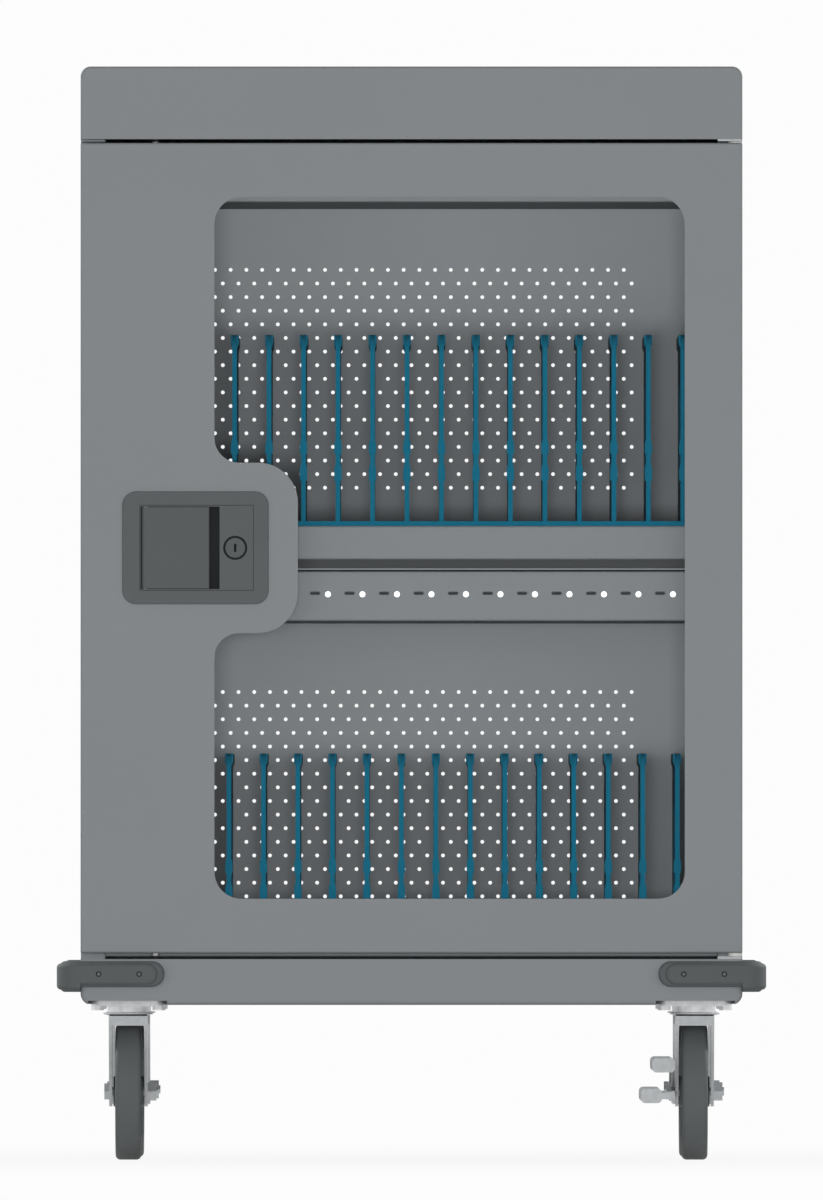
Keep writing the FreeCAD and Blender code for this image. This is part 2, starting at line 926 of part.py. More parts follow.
def latch_block(inset, radius, y0, y1):
    """A rounded block centred on the latch."""
    tall = latch_height / 2 - inset
    points = rectangle(latch_left + inset, latch_right - inset, door_middle - tall, door_middle + tall)
    return prism(points, [radius] * 4, facing(y0), Vector(0, y1 - y0, 0))


def door_panel():
    """The folded door skin, with the window, the latch opening and holes for rods and bushes."""
    edge = rectangle(-half_width, half_width, door_bottom, door_top)
    skin = prism(edge, [door_corner_radius] * 4, facing(front), Vector(0, door_depth, 0))
    skin = skin.makeFillet(door_rim_radius, [e for e in skin.Edges if e.BoundBox.YMax < skin_back])
    wall = sheet
    cavity = box(
        -half_width + wall, half_width - wall, front + wall, door_rear - wall,
        door_bottom + wall, door_top - wall,
    )
    reach = wall + door_return
    mouth = box(
        -half_width + reach, half_width - reach, door_rear - wall - overrun, door_rear + overrun,
        door_bottom + reach, door_top - reach,
    )
    window = window_prism(0, front - overrun, skin_back + overrun)
    latch_radius_grown = latch_body_radius + latch_fit
    latch = latch_block(latch_rim - latch_fit, latch_radius_grown, front - overrun, skin_back + overrun)
    cuts = [cavity, mouth, window, latch]
    holes = (
        (rod_x, rod_y, rod_radius + rod_hole_clearance, reach + overrun),
        (hinge_x, hinge_y, bush_radius + press_clearance, overrun),
    )
    for x, y, radius, run in holes:
        for z in (door_bottom, door_top):
            cuts.append(upright(radius, x, y, z - run, z + run))
    return skin.cut(cuts)


def window_seal():
    """The flat ring of rubber between the door skin and the pane."""
    ring = window_prism(pane_overlap, skin_back, skin_back + seal_thickness)
    return ring.cut(window_prism(seal_inset, skin_back - overrun, skin_back + seal_thickness + overrun))


def window_pane():
    """The clear pane behind the seal."""
    pane_front = skin_back + seal_thickness
    return window_prism(pane_overlap, pane_front, pane_front + pane_thickness)


def pane_clip():
    """A stepped clip, at the origin, that holds an edge of the pane lying towards +X."""
    stack = seal_thickness + pane_thickness
    points = [
        (clip_reach, skin_back + stack + clip_sheet),
        (-bend_radius - clip_sheet, skin_back + stack + clip_sheet),
        (-bend_radius - clip_sheet, skin_back + clip_sheet),
        (-clip_foot, skin_back + clip_sheet),
    ]
    return folded(points, clip_sheet, level(-clip_width / 2), Vector(0, 0, clip_width))


def pane_clips():
    """Clips round the pane."""
    points, _ = window_points(pane_overlap)
    left, low = points[0]
    right, high = points[2]
    notch_low = points[7][1]
    notch_high = points[4][1]
    middle = (left + right) / 2
    quarter = (right - left) / 4
    levels = (door_middle, (low + door_middle) / 2, (high + door_middle) / 2)
    places = [(right, z, 180) for z in levels]
    places += [(left, (low + notch_low) / 2, 0), (left, (high + notch_high) / 2, 0)]
    places += [(x, low, 270) for x in (middle - quarter, middle + quarter)]
    places += [(x, high, 90) for x in (middle - quarter, middle + quarter)]
    clips = []
    for x, z, turn in places:
        clip = pane_clip()
        clip.rotate(Vector(), Vector(0, 1, 0), turn)
        clips.append(clip.translated(Vector(x, 0, z)))
    return clips


def latch_groove():
    """The thin groove round the paddle and the lock."""
    left = latch_left + frame_left_inset
    right = latch_right - frame_right_inset
    tall = latch_height / 2 - frame_end_inset
    wide = frame_groove
    start = facing(latch_face - overrun)
    outer = rectangle(left, right, door_middle - tall, door_middle + tall)
    inner = rectangle(left + wide, right - wide, door_middle - tall + wide, door_middle + tall - wide)
    wires = [outline(points, [0] * 4, start) for points in (outer, inner)]
    return pierced(wires[0], wires[1:], Vector(0, overrun + wide, 0))


def latch_housing():
    """The moulded latch: a plate and body with the paddle's pocket, the lock's bore and the cam's stud."""
    plate = latch_block(0, latch_radius, latch_face, front)
    rim = [e for e in plate.Edges if e.BoundBox.YMax < latch_face + latch_edge]
    plate = plate.makeFillet(latch_edge, rim)
    body = latch_block(latch_rim, latch_body_radius, latch_face + latch_edge, latch_back)
    outside = latch_face - overrun
    pocket = box(
        paddle_left - paddle_clearance, paddle_right + finger_gap, outside, latch_back - latch_floor,
        door_middle - pocket_half, door_middle + pocket_half,
    )
    ring = lengthwise(lock_ring_radius, lock_x, door_middle, outside, latch_face + lock_ring_depth)
    bore = lengthwise(lock_radius + turning_clearance, lock_x, door_middle, outside, latch_back + overrun)
    low = door_middle - latch_height / 2
    pin_hole = upright(
        paddle_pin_radius + press_clearance, paddle_pin_x, paddle_pin_y, low, low + latch_height,
    )
    stud = lengthwise(cam_stud_radius, rod_x, door_middle, latch_back - overrun / 2, foot_back)
    return plate.fuse(body).cut([pocket, ring, bore, pin_hole, latch_groove()]).fuse(stud)


def paddle():
    """The pull paddle, a plate with a rolled finger lip, turning on the pin in its knuckle."""
    half = paddle_height / 2
    inner = paddle_face + paddle_thickness
    lip = paddle_face + paddle_lip
    points = [
        (paddle_pin_x, paddle_face), (paddle_right, paddle_face), (paddle_right, lip),
        (paddle_right - paddle_thickness, lip), (paddle_right - paddle_lip_width, inner),
        (paddle_pin_x, inner),
    ]
    radii = [0, paddle_thickness / 2, paddle_thickness / 3, paddle_thickness / 3, paddle_thickness / 2, 0]
    plate = prism(points, radii, level(door_middle - half), Vector(0, 0, paddle_height))
    low = Vector(paddle_pin_x, paddle_pin_y, door_middle - half)
    high = Vector(paddle_pin_x, paddle_pin_y, door_middle + half)
    bore = bar(paddle_pin_radius + turning_clearance, low, high)
    return plate.fuse(bar(knuckle_radius, low, high)).cut(bore).removeSplitter()


def paddle_pin():
    """The pin that the paddle turns on, pressed into the housing."""
    reach = latch_height / 2 - latch_rim
    return upright(paddle_pin_radius, paddle_pin_x, paddle_pin_y, door_middle - reach, door_middle + reach)


def lock_barrel():
    """The round lock barrel with its key slot, and the tail that carries the crank."""
    face = latch_face + lock_sink
    body = lengthwise(lock_radius, lock_x, door_middle, face, latch_back)
    tail = lengthwise(lock_tail_radius, lock_x, door_middle, latch_back - overrun, foot_back)
    slot = box(
        lock_x - key_slot_width / 2, lock_x + key_slot_width / 2, face - overrun, face + key_slot_depth,
        door_middle - key_slot_height / 2, door_middle + key_slot_height / 2,
    )
    return body.fuse(tail).cut(slot).removeSplitter()


def link_pin_place():
    """How far the link's pins stand from the lock and the cam, along X and Z, with the rods drawn back."""
    return -link_arm * math.sin(half_turn), link_arm * math.cos(half_turn)


def link_pin(x):
    """A pin that stands forward from a cam or crank into the link."""
    side, up = link_pin_place()
    return lengthwise(cam_pin_radius, x + side, door_middle + up, link_front, cam_front + cam_thickness / 2)


def lock_crank():
    """The crank on the barrel's tail."""
    half = link_width / 2
    points = rectangle(-half, half, -half, link_arm + half)
    arm = prism(points, [link_width * pill_share] * 4, facing(cam_front), Vector(0, cam_thickness, 0))
    arm.rotate(Vector(), Vector(0, 1, 0), -key_turn / 2)
    arm = arm.translated(Vector(lock_x, 0, door_middle))
    hub = lengthwise(crank_hub_radius, lock_x, door_middle, cam_front, foot_back)
    radius = lock_tail_radius + press_clearance
    bore = lengthwise(radius, lock_x, door_middle, cam_front - overrun, foot_back + overrun)
    return arm.fuse([hub, link_pin(lock_x)]).cut(bore).removeSplitter()


def rod_cam():
    """The round cam, with a pin for each rod behind and the link's pin in front."""
    disc = lengthwise(cam_radius, rod_x, door_middle, cam_front, cam_back)
    pins = [link_pin(rod_x)]
    for sign in (-1, 1):
        x = rod_x + sign * cam_pin_circle * math.cos(half_turn)
        z = door_middle + sign * cam_pin_circle * math.sin(half_turn)
        pins.append(lengthwise(cam_pin_radius, x, z, cam_front + cam_thickness / 2, foot_back))
    radius = cam_stud_radius + turning_clearance
    bore = lengthwise(radius, rod_x, door_middle, cam_front - overrun, cam_back + overrun)
    return disc.fuse(pins).cut(bore)


def cam_link():
    """The bar that carries the crank's turn to the cam."""
    side, up = link_pin_place()
    z = door_middle + up
    half = link_width / 2
    points = rectangle(rod_x + side - half, lock_x + side + half, z - half, z + half)
    strip = prism(points, [link_width * pill_share] * 4, facing(link_front), Vector(0, link_thickness, 0))
    radius = cam_pin_radius + link_pin_clearance
    link_back = link_front + link_thickness
    spots = (rod_x + side, lock_x + side)
    return strip.cut([lengthwise(radius, x, z, link_front - overrun, link_back + overrun) for x in spots])


def lock_rod(end):
    """The upper rod, drawn upright over the cam's centre, with the slotted foot that its pin drives."""
    near = cam_pin_circle * math.cos(half_turn) - cam_pin_radius - cam_pin_clearance
    far = cam_pin_circle + cam_pin_radius + cam_pin_clearance
    pin_z = -cam_pin_circle * math.sin(half_turn)
    half_slot = cam_pin_radius + cam_pin_clearance
    start = cam_radius + rod_start_gap
    lug_top = start + foot_lug_height
    margin = foot_margin
    points = [
        (-far - margin, pin_z - half_slot - margin), (-near + margin, pin_z - half_slot - margin),
        (-near + margin, start), (rod_radius, start), (rod_radius, lug_top), (-far - margin, lug_top),
    ]
    radii = [margin, margin, margin, 0, 0, rod_radius]
    foot = prism(points, radii, facing(foot_front), Vector(0, foot_thickness, 0))
    slot_points = rectangle(-far, -near, pin_z - half_slot, pin_z + half_slot)
    through = Vector(0, foot_thickness + 2 * overrun, 0)
    slot = prism(slot_points, [half_slot * 2 * pill_share] * 4, facing(foot_front - overrun), through)
    round_bar = upright(rod_radius, 0, rod_y, start, end)
    tip = [e for e in round_bar.Edges if e.BoundBox.ZMin > end - rod_tip_chamfer]
    return foot.cut(slot).fuse(round_bar.makeChamfer(rod_tip_chamfer, tip)).removeSplitter()


def upper_lock_rod():
    """The rod to the cap, its tip standing in the gap above the door."""
    rod = lock_rod(door_top + rod_tip_share * upper_door_gap - door_middle)
    return rod.translated(Vector(rod_x, 0, door_middle))


def lower_lock_rod():
    """The rod to the plinth, the upper one turned over."""
    rod = lock_rod(door_middle - door_bottom + rod_tip_share * lower_door_gap)
    rod.rotate(Vector(0, rod_y, 0), Vector(0, 1, 0), 180)
    return rod.translated(Vector(rod_x, 0, door_middle))


def rod_guides():
    """Blocks on the door skin that the rods slide in."""
    guides = []
    back = rod_y + rod_radius + guide_wall
    half = guide_width / 2
    tall = guide_height / 2
    for sign in (-1, 1):
        for share in guide_place_shares:
            z = door_middle + sign * share * door_height / 2
            block = box(rod_x - half, rod_x + half, skin_back, back, z - tall, z + tall)
            bore = upright(rod_radius + turning_clearance, rod_x, rod_y, z - guide_height, z + guide_height)
            guides.append(block.cut(bore))
    return guides


def hinge_pivot(plate_face, thickness, up):
    """A hinge plate lying against the cap or the plinth, with its pin standing into the door."""
    inner_x = half_width - hinge_plate_edge - hinge_plate_width
    ends = sorted([plate_face, plate_face + up * thickness])
    edge = hinge_plate_edge
    plate = box(inner_x, half_width - edge, front + edge, door_rear - edge, *ends)
    gap = lower_door_gap if up > 0 else upper_door_gap
    tip = plate_face + up * (gap + hinge_pin_reach)
    return plate.fuse(upright(hinge_pin_radius, hinge_x, hinge_y, plate_face, tip))


def hinge_bush(door_edge, thickness, gap, up):
    """The flanged bush in the door's end that turns on a hinge pin."""
    outer = door_edge - up * (gap - thickness - running_gap)
    inner = door_edge + up * bush_length
    flange = upright(bush_flange_radius, hinge_x, hinge_y, door_edge, outer)
    body = upright(bush_radius, hinge_x, hinge_y, outer, inner)
    radius = hinge_pin_radius + turning_clearance
    bore = upright(radius, hinge_x, hinge_y, outer - up * overrun, inner + up * overrun)
    return flange.fuse(body).cut(bore).removeSplitter()


def bolt_places(x, y, radius, low, high):
    """Four upright bars on a caster's bolt pattern."""
    places = [(i * bolt_spacing_x / 2, j * bolt_spacing_y / 2) for i in (-1, 1) for j in (-1, 1)]
    return [upright(radius, x + i, y + j, low - overrun, high + overrun) for i, j in places]


def caster_plate():
    """A caster's top plate with its lower race, round the swivel axis."""
    edge = rectangle(-plate_width / 2, plate_width / 2, -plate_depth / 2, plate_depth / 2)
    plate = prism(edge, [plate_corner_radius] * 4, level(plate_bottom), Vector(0, 0, plate_thickness))
    race = upright(race_radius, 0, 0, dust_cap_top + running_gap, plate_bottom)
    bore = upright(king_pin_radius + press_clearance, 0, 0, crown_level, plate_top + overrun)
    holes = bolt_places(0, 0, bolt_radius + turning_clearance, plate_bottom, plate_top)
    return plate.fuse(race).cut([bore, *holes]).removeSplitter()


def caster_bolts():
    """The four bolts of a caster, their heads under the plate."""
    low = plate_bottom - bolt_head_height
    bolts = []
    for shank in bolt_places(0, 0, bolt_radius, low + overrun, plate_top + plinth_sheet):
        centre = shank.BoundBox.Center
        head = hexagon(bolt_head_across, level(low), Vector(0, 0, bolt_head_height))
        bolts.append(shank.fuse(head.translated(Vector(centre.x, centre.y, 0))).removeSplitter())
    return bolts


def king_pin():
    """The pin that a fork swivels on, with its head under the crown."""
    head_top = crown_level - running_gap
    low = head_top - king_pin_head_height
    head = upright(king_pin_head_radius, 0, 0, low, head_top)
    return head.fuse(upright(king_pin_radius, 0, 0, low, plate_top)).removeSplitter()


def fork_leg(x0):
    """One tapered leg of a fork, from the crown down to the axle."""
    top = crown_level + crown_thickness
    boss = leg_boss_radius
    depth = crown_half_depth
    points = [
        (-depth, top), (depth, top), (wheel_trail + boss, wheel_radius), (wheel_trail - boss, wheel_radius),
    ]
    blade = prism(points, [0] * 4, sideways(x0), Vector(leg_thickness, 0, 0))
    end = crosswise(boss, wheel_trail, wheel_radius, x0, x0 + leg_thickness)
    return blade.fuse(end)


def caster_fork():
    """A fork of crown, two legs, neck and dust cap, round the swivel axis."""
    half = fork_half_width
    crown_front = -crown_half_depth
    crown = box(-half, half, crown_front, crown_half_depth, crown_level, crown_level + crown_thickness)
    lip = box(-half, half, crown_front, crown_front + leg_thickness, crown_level - crown_lip, crown_level)
    neck = upright(neck_radius, 0, 0, crown_level, dust_cap_top)
    cap_low = dust_cap_top - dust_cap_height
    cap_face = Part.makeCone(neck_radius, dust_cap_radius, dust_cap_height / 2, Vector(0, 0, cap_low))
    cap_rim = upright(dust_cap_radius, 0, 0, cap_low + dust_cap_height / 2, dust_cap_top)
    bore = upright(king_pin_radius + turning_clearance, 0, 0, crown_level - overrun, dust_cap_top + overrun)
    far = half + overrun
    holes = crosswise(axle_radius + turning_clearance, wheel_trail, wheel_radius, -far, far)
    legs = [fork_leg(-half), fork_leg(leg_inner)]
    return crown.fuse([lip, neck, cap_face, cap_rim, *legs]).cut([bore, holes]).removeSplitter()


def axle(with_lever):
    """The axle bolt, its head on the left, and its nut on the right."""
    left = -fork_half_width
    if with_lever:
        left = lever_face - running_gap
    place = lambda u, v: Vector(0, wheel_trail + u, wheel_radius + v)
    head = hexagon(axle_head_across, place, Vector(-axle_head_height, 0, 0)).translated(Vector(left, 0, 0))
    end = fork_half_width + axle_nut_height + axle_end
    shank = crosswise(axle_radius, wheel_trail, wheel_radius, left - axle_end, end)
    nut = hexagon(axle_nut_across, place, Vector(axle_nut_height, 0, 0))
    far = axle_nut_height + overrun
    thread = crosswise(axle_radius + press_clearance, wheel_trail, wheel_radius, -overrun, far)
    nut = nut.cut(thread).translated(Vector(fork_half_width, 0, 0))
    return [head.fuse(shank).removeSplitter(), nut]


def turned(points, radii):
    """A profile of places along the axle and radii about it, turned round the axle."""
    place = lambda u, v: Vector(u, wheel_trail, wheel_radius + v)
    face = Part.Face(outline(points, radii, place))
    return face.revolve(Vector(0, wheel_trail, wheel_radius), Vector(1, 0, 0), 360)


def wheel_hub():
    """A wheel's hub: a boss, a dished web and a rim."""
    bore = axle_radius + turning_clearance
    rim_inner = rim_radius - rim_depth
    right = [
        (hub_half_width, bore), (hub_half_width, hub_radius), (web_half_width, hub_radius + hub_flare),
        (web_half_width, rim_inner - hub_flare), (rim_half_width, rim_inner), (rim_half_width, rim_radius),
    ]
    left = [(-x, r) for x, r in right[::-1]]
    return turned(right + left, [0] * 12)


def tyre():
    """A tyre with rounded shoulders."""
    inner = rim_radius + tyre_fit
    half = tyre_half_width
    points = [(-half, inner), (half, inner), (half, wheel_radius), (-half, wheel_radius)]
    return turned(points, [0, 0, tyre_shoulder_radius, tyre_shoulder_radius])


def brake_pad(width, rise, neck):
    """An arm from the axle to the front, and a foot pad that a neck can set off to the left."""
    right = lever_face + lever_thickness
    front_y = wheel_trail - lever_reach
    z = wheel_radius + rise
    half_arm = lever_arm_width / 2
    points = [
        (wheel_trail, wheel_radius - half_arm), (wheel_trail, wheel_radius + half_arm),
        (front_y, z + half_arm), (front_y, z - half_arm),
    ]
    arm = prism(points, [0] * 4, sideways(lever_face), Vector(lever_thickness, 0, 0))
    face = front_y - pad_thickness / 2
    edge = rectangle(right - width, right - neck, z - pad_height / 2, z + pad_height / 2)
    pad = prism(edge, [pad_radius] * 4, facing(face), Vector(0, pad_thickness, 0))
    half_neck = pad_neck_height / 2
    left = right - neck - pad_radius
    return [arm, pad, box(left, right, face, face + pad_thickness, z - half_neck, z + half_neck)]


def brake_lever():
    """A foot lever on the axle, with an upper and a lower pad standing out to the left."""
    right = lever_face + lever_thickness
    boss = crosswise(lever_boss_radius, wheel_trail, wheel_radius, lever_face, right)
    upper = brake_pad(upper_pad_width, upper_pad_rise, 0)
    lower = brake_pad(lower_pad_width, -lower_pad_drop, pad_neck_length)
    radius = axle_radius + turning_clearance
    bore = crosswise(radius, wheel_trail, wheel_radius, lever_face - overrun, right + overrun)
    return boss.fuse([*upper, *lower]).cut(bore).removeSplitter()


def write(name, *shapes):
    """Writes one piece, or a group of like pieces, to its own file."""
    solids = [solid for shape in shapes for solid in shape.Solids]
    whole = solids[0] if len(solids) == 1 else Part.makeCompound(solids)
    whole.exportStep("parts/" + name + ".step")


def write_cabinet():
    """The fixed shell and what it holds."""
    write("top_cap", top_cap())
    write("plinth_tray", plinth_tray())
    left_side, right_side = left_and_right(side_panel())
    write("left_side_panel", left_side)
    write("right_side_panel", right_side)
    write("upper_rear_panel", rear_panel(door_middle, cap_bottom, 0))
    write("lower_rear_panel", lower_rear_panel())
    write("middle_shelf", middle_shelf())
    write("floor_panel", shelf(floor_top, floor_lip, floor_rise, floor_rise))
    write("channel_lids", *[channel_lid(bay) for bay in bay_levels])
    write("port_boards", *[port_board(bay) for bay in bay_levels])
    write("power_supplies", *[power_supply(bay) for bay in bay_levels])
    ports = []
    lights = []
    for bay in bay_levels:
        z = channel_bottom(bay) + port_level
        ports += [charging_port(x, z) for x in slot_centres(bay)]
        lights += [status_light(x + light_offset, z - light_drop) for x in slot_centres(bay)]
        write(bay + "_port_channel", port_channel(bay))
        write(bay + "_tray", tray(bay))
        write(bay + "_dividers", *dividers(bay))
    write("charging_ports", *ports)
    write("status_lights", *lights)
    write("mains_inlet", *mains_inlet())
    write("wire_duct", wire_duct())
    lower_pivot = hinge_pivot(plinth_top, lower_plate_thickness, 1)
    write("hinge_pivots", hinge_pivot(cap_bottom, upper_plate_thickness, -1), lower_pivot)
    front_bumpers = left_and_right(bumper())
    for side, front_bumper in zip(("left", "right"), front_bumpers):
        write("front_" + side + "_bumper", front_bumper)
        write("rear_" + side + "_bumper", front_bumper.mirror(Vector(), Vector(0, 1, 0)))


def write_door():
    """The door and the latch work in it."""
    write("door_panel", door_panel())
    write("window_seal", window_seal())
    write("window_pane", window_pane())
    write("pane_clips", *pane_clips())
    write("latch_housing", latch_housing())
    write("latch_paddle", paddle())
    write("paddle_pin", paddle_pin())
    write("lock_barrel", lock_barrel())
    write("lock_crank", lock_crank())
    write("rod_cam", rod_cam())
    write("cam_link", cam_link())
    write("upper_lock_rod", upper_lock_rod())
    write("lower_lock_rod", lower_lock_rod())
    write("rod_guides", *rod_guides())
    upper_bush = hinge_bush(door_top, upper_plate_thickness, upper_door_gap, -1)
    write("hinge_bushes", upper_bush, hinge_bush(door_bottom, lower_plate_thickness, lower_door_gap, 1))


def write_casters():
    """Four casters, with brake levers on the right-hand ones."""
    places = {}
    for end, y in (("front", -caster_y), ("rear", caster_y)):
        for side, x in (("left", -caster_x), ("right", caster_x)):
            places[end + "_" + side] = Vector(x, y, 0)
    write("caster_plates", *[caster_plate().translated(place) for place in places.values()])
    write("king_pins", *[king_pin().translated(place) for place in places.values()])
    write("caster_bolts", *[bolt.translated(place) for bolt in caster_bolts() for place in places.values()])
    for name, place in places.items():
        braked = name.endswith("right")
        fork = [caster_fork(), *axle(braked)]
        write(name + "_fork", *[piece.translated(place) for piece in fork])
        write(name + "_hub", wheel_hub().translated(place))
        write(name + "_tyre", tyre().translated(place))
        if braked:
            write(name + "_brake_lever", brake_lever().translated(place))


os.makedirs("parts", exist_ok=True)
write_cabinet()
write_door()
write_casters()
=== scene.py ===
import math

import bmesh
import bpy
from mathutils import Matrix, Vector


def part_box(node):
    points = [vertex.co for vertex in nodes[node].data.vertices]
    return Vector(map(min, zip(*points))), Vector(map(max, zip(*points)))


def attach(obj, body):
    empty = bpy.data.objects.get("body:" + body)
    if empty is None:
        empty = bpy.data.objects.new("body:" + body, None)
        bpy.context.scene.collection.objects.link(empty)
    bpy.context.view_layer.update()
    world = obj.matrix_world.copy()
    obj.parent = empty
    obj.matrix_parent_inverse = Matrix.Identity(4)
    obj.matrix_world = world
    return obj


bl_info = {
    "name": "Charging cabinet",
    "version": (1, 0, 0),
    "blender": (4, 5, 0),
    "location": "View3D > Sidebar > Cabinet",
    "description": "Finishes and small fittings for a charging cabinet on casters",
    "category": "Object",
}

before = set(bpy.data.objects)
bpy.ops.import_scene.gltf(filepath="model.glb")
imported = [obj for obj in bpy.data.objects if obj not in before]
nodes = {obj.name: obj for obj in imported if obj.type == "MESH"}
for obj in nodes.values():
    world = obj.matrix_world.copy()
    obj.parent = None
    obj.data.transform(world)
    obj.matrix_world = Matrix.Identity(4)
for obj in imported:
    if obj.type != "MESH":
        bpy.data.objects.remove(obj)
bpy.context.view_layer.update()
CORNERS = ("front_left", "front_right", "rear_left", "rear_right")
BRAKED = ("front_right", "rear_right")


class CabinetColours(bpy.types.PropertyGroup):
    """Colours of the cabinet's finishes."""

    coat_grey: bpy.props.FloatVectorProperty(
        name="Coat grey", description="Powder coat of the shell, door and shelf",
        subtype="COLOR", size=3, default=(0.222, 0.237, 0.248))
    # Inner grey is the shell's powder coat made lighter: painted light that stands in for the light inside
    # the bays
    inner_painted_light_grey: bpy.props.FloatVectorProperty(
        name="Inner grey", description="Powder coat of the rear panels' inner face and the wire duct",
        subtype="COLOR", size=3, default=(0.300, 0.320, 0.333))
    latch_grey: bpy.props.FloatVectorProperty(
        name="Latch grey", description="Coat of the latch housing",
        subtype="COLOR", size=3, default=(0.098, 0.107, 0.110))
    paddle_grey: bpy.props.FloatVectorProperty(
        name="Paddle grey", description="Coat of the latch's paddle and lock",
        subtype="COLOR", size=3, default=(0.092, 0.101, 0.104))
    divider_teal: bpy.props.FloatVectorProperty(
        name="Divider teal", description="Moulded trays and dividers",
        subtype="COLOR", size=3, default=(0.003, 0.131, 0.214))
    bumper_grey: bpy.props.FloatVectorProperty(
        name="Bumper grey", description="Rubber of the corner bumpers",
        subtype="COLOR", size=3, default=(0.092, 0.100, 0.103))
    tyre_grey: bpy.props.FloatVectorProperty(
        name="Tyre grey", description="Rubber of the tyres",
        subtype="COLOR", size=3, default=(0.103, 0.112, 0.115))
    moulded_black: bpy.props.FloatVectorProperty(
        name="Moulded black", description="Mains inlet and contact blades",
        subtype="COLOR", size=3, default=(0.022, 0.024, 0.026))
    port_grey: bpy.props.FloatVectorProperty(
        name="Port grey", description="Shells of the charging ports",
        subtype="COLOR", size=3, default=(0.085, 0.090, 0.094))
    zinc: bpy.props.FloatVectorProperty(
        name="Zinc", description="Plated steel of forks, levers and hinges",
        subtype="COLOR", size=3, default=(0.48, 0.497, 0.508))
    bright_zinc: bpy.props.FloatVectorProperty(
        name="Bright zinc", description="Brighter plating of caster plates, bolts and rods",
        subtype="COLOR", size=3, default=(0.74, 0.75, 0.76))
    dark_steel: bpy.props.FloatVectorProperty(
        name="Dark steel", description="Blackened screws in the bumpers",
        subtype="COLOR", size=3, default=(0.16, 0.168, 0.174))
    board_green: bpy.props.FloatVectorProperty(
        name="Board green", description="Circuit boards",
        subtype="COLOR", size=3, default=(0.012, 0.09, 0.035))
    dust: bpy.props.FloatVectorProperty(
        name="Dust", description="Floor dust on the rolling rubber",
        subtype="COLOR", size=3, default=(0.25, 0.24, 0.225))
    nylon_white: bpy.props.FloatVectorProperty(
        name="Nylon white", description="Rod guides and hinge bushes",
        subtype="COLOR", size=3, default=(0.62, 0.62, 0.6))
    hub_black: bpy.props.FloatVectorProperty(
        name="Hub black", description="Hubs of the wheels and their ribs",
        subtype="COLOR", size=3, default=(0.06, 0.064, 0.067))
    seal_black: bpy.props.FloatVectorProperty(
        name="Seal black", description="Rubber seal of the window",
        subtype="COLOR", size=3, default=(0.03, 0.031, 0.032))
    case_steel: bpy.props.FloatVectorProperty(
        name="Case steel", description="Cases of the power supplies",
        subtype="COLOR", size=3, default=(0.5, 0.51, 0.52))
    pane_tint: bpy.props.FloatVectorProperty(
        name="Pane tint", description="Faint tint of the window pane",
        subtype="COLOR", size=3, default=(0.3, 0.32, 0.34))
    light_white: bpy.props.FloatVectorProperty(
        name="Light white", description="Lenses of the status lights",
        subtype="COLOR", size=3, default=(0.8, 0.82, 0.83))


class CabinetSizes(bpy.types.PropertyGroup):
    """Sizes of the small fittings."""

    screw_radius: bpy.props.FloatProperty(
        name="Screw radius", description="Radius of a rear panel screw head", unit="LENGTH", default=0.0031)
    rear_screw_inset: bpy.props.FloatProperty(
        name="Rear screw inset", description="Rear panel screws in from the panel's edge",
        unit="LENGTH", default=0.010)
    rear_screw_rows: bpy.props.IntProperty(
        name="Rear screw rows", description="Screws up each side of one rear panel", default=3)
    bumper_screw_radius: bpy.props.FloatProperty(
        name="Bumper screw radius", description="Radius of a screw head in a bumper",
        unit="LENGTH", default=0.0025)
    bumper_near_screw: bpy.props.FloatProperty(
        name="Near bumper screw", description="Nearer screw from the body's corner",
        unit="LENGTH", default=0.017)
    bumper_far_screw: bpy.props.FloatProperty(
        name="Far bumper screw", description="Farther screw from the body's corner",
        unit="LENGTH", default=0.0545)
    bumper_screw_rise: bpy.props.FloatProperty(
        name="Bumper screw rise", description="Bumper screws over the middle of the plinth",
        unit="LENGTH", default=0.0074)
    dimple_depth: bpy.props.FloatProperty(
        name="Dimple depth", description="Depth of a bumper's screw dimples", unit="LENGTH", default=0.004)
    port_count: bpy.props.IntProperty(
        name="Ports", description="Charging ports over one bay", default=16)
    port_pitch: bpy.props.FloatProperty(
        name="Port pitch", description="Distance between charging ports", unit="LENGTH", default=0.03205)
    port_half_height: bpy.props.FloatProperty(
        name="Port half height", description="Middle of a port from its upper or lower edge",
        unit="LENGTH", default=0.0015)
    blade_depth: bpy.props.FloatProperty(
        name="Blade depth", description="Foot of a contact blade behind the port's face",
        unit="LENGTH", default=0.0056)
    blade_width: bpy.props.FloatProperty(
        name="Blade width", description="Width of a contact blade", unit="LENGTH", default=0.0068)
    rib_count: bpy.props.IntProperty(
        name="Hub ribs", description="Ribs on each face of a wheel's hub", default=10)
    rib_offset: bpy.props.FloatProperty(
        name="Rib offset", description="Ribs out from the middle of the hub", unit="LENGTH", default=0.0035)
    rib_start: bpy.props.FloatProperty(
        name="Rib start", description="Radius at which a rib starts", unit="LENGTH", default=0.0155)
    rib_length: bpy.props.FloatProperty(
        name="Rib length", description="Length of a rib", unit="LENGTH", default=0.0265)


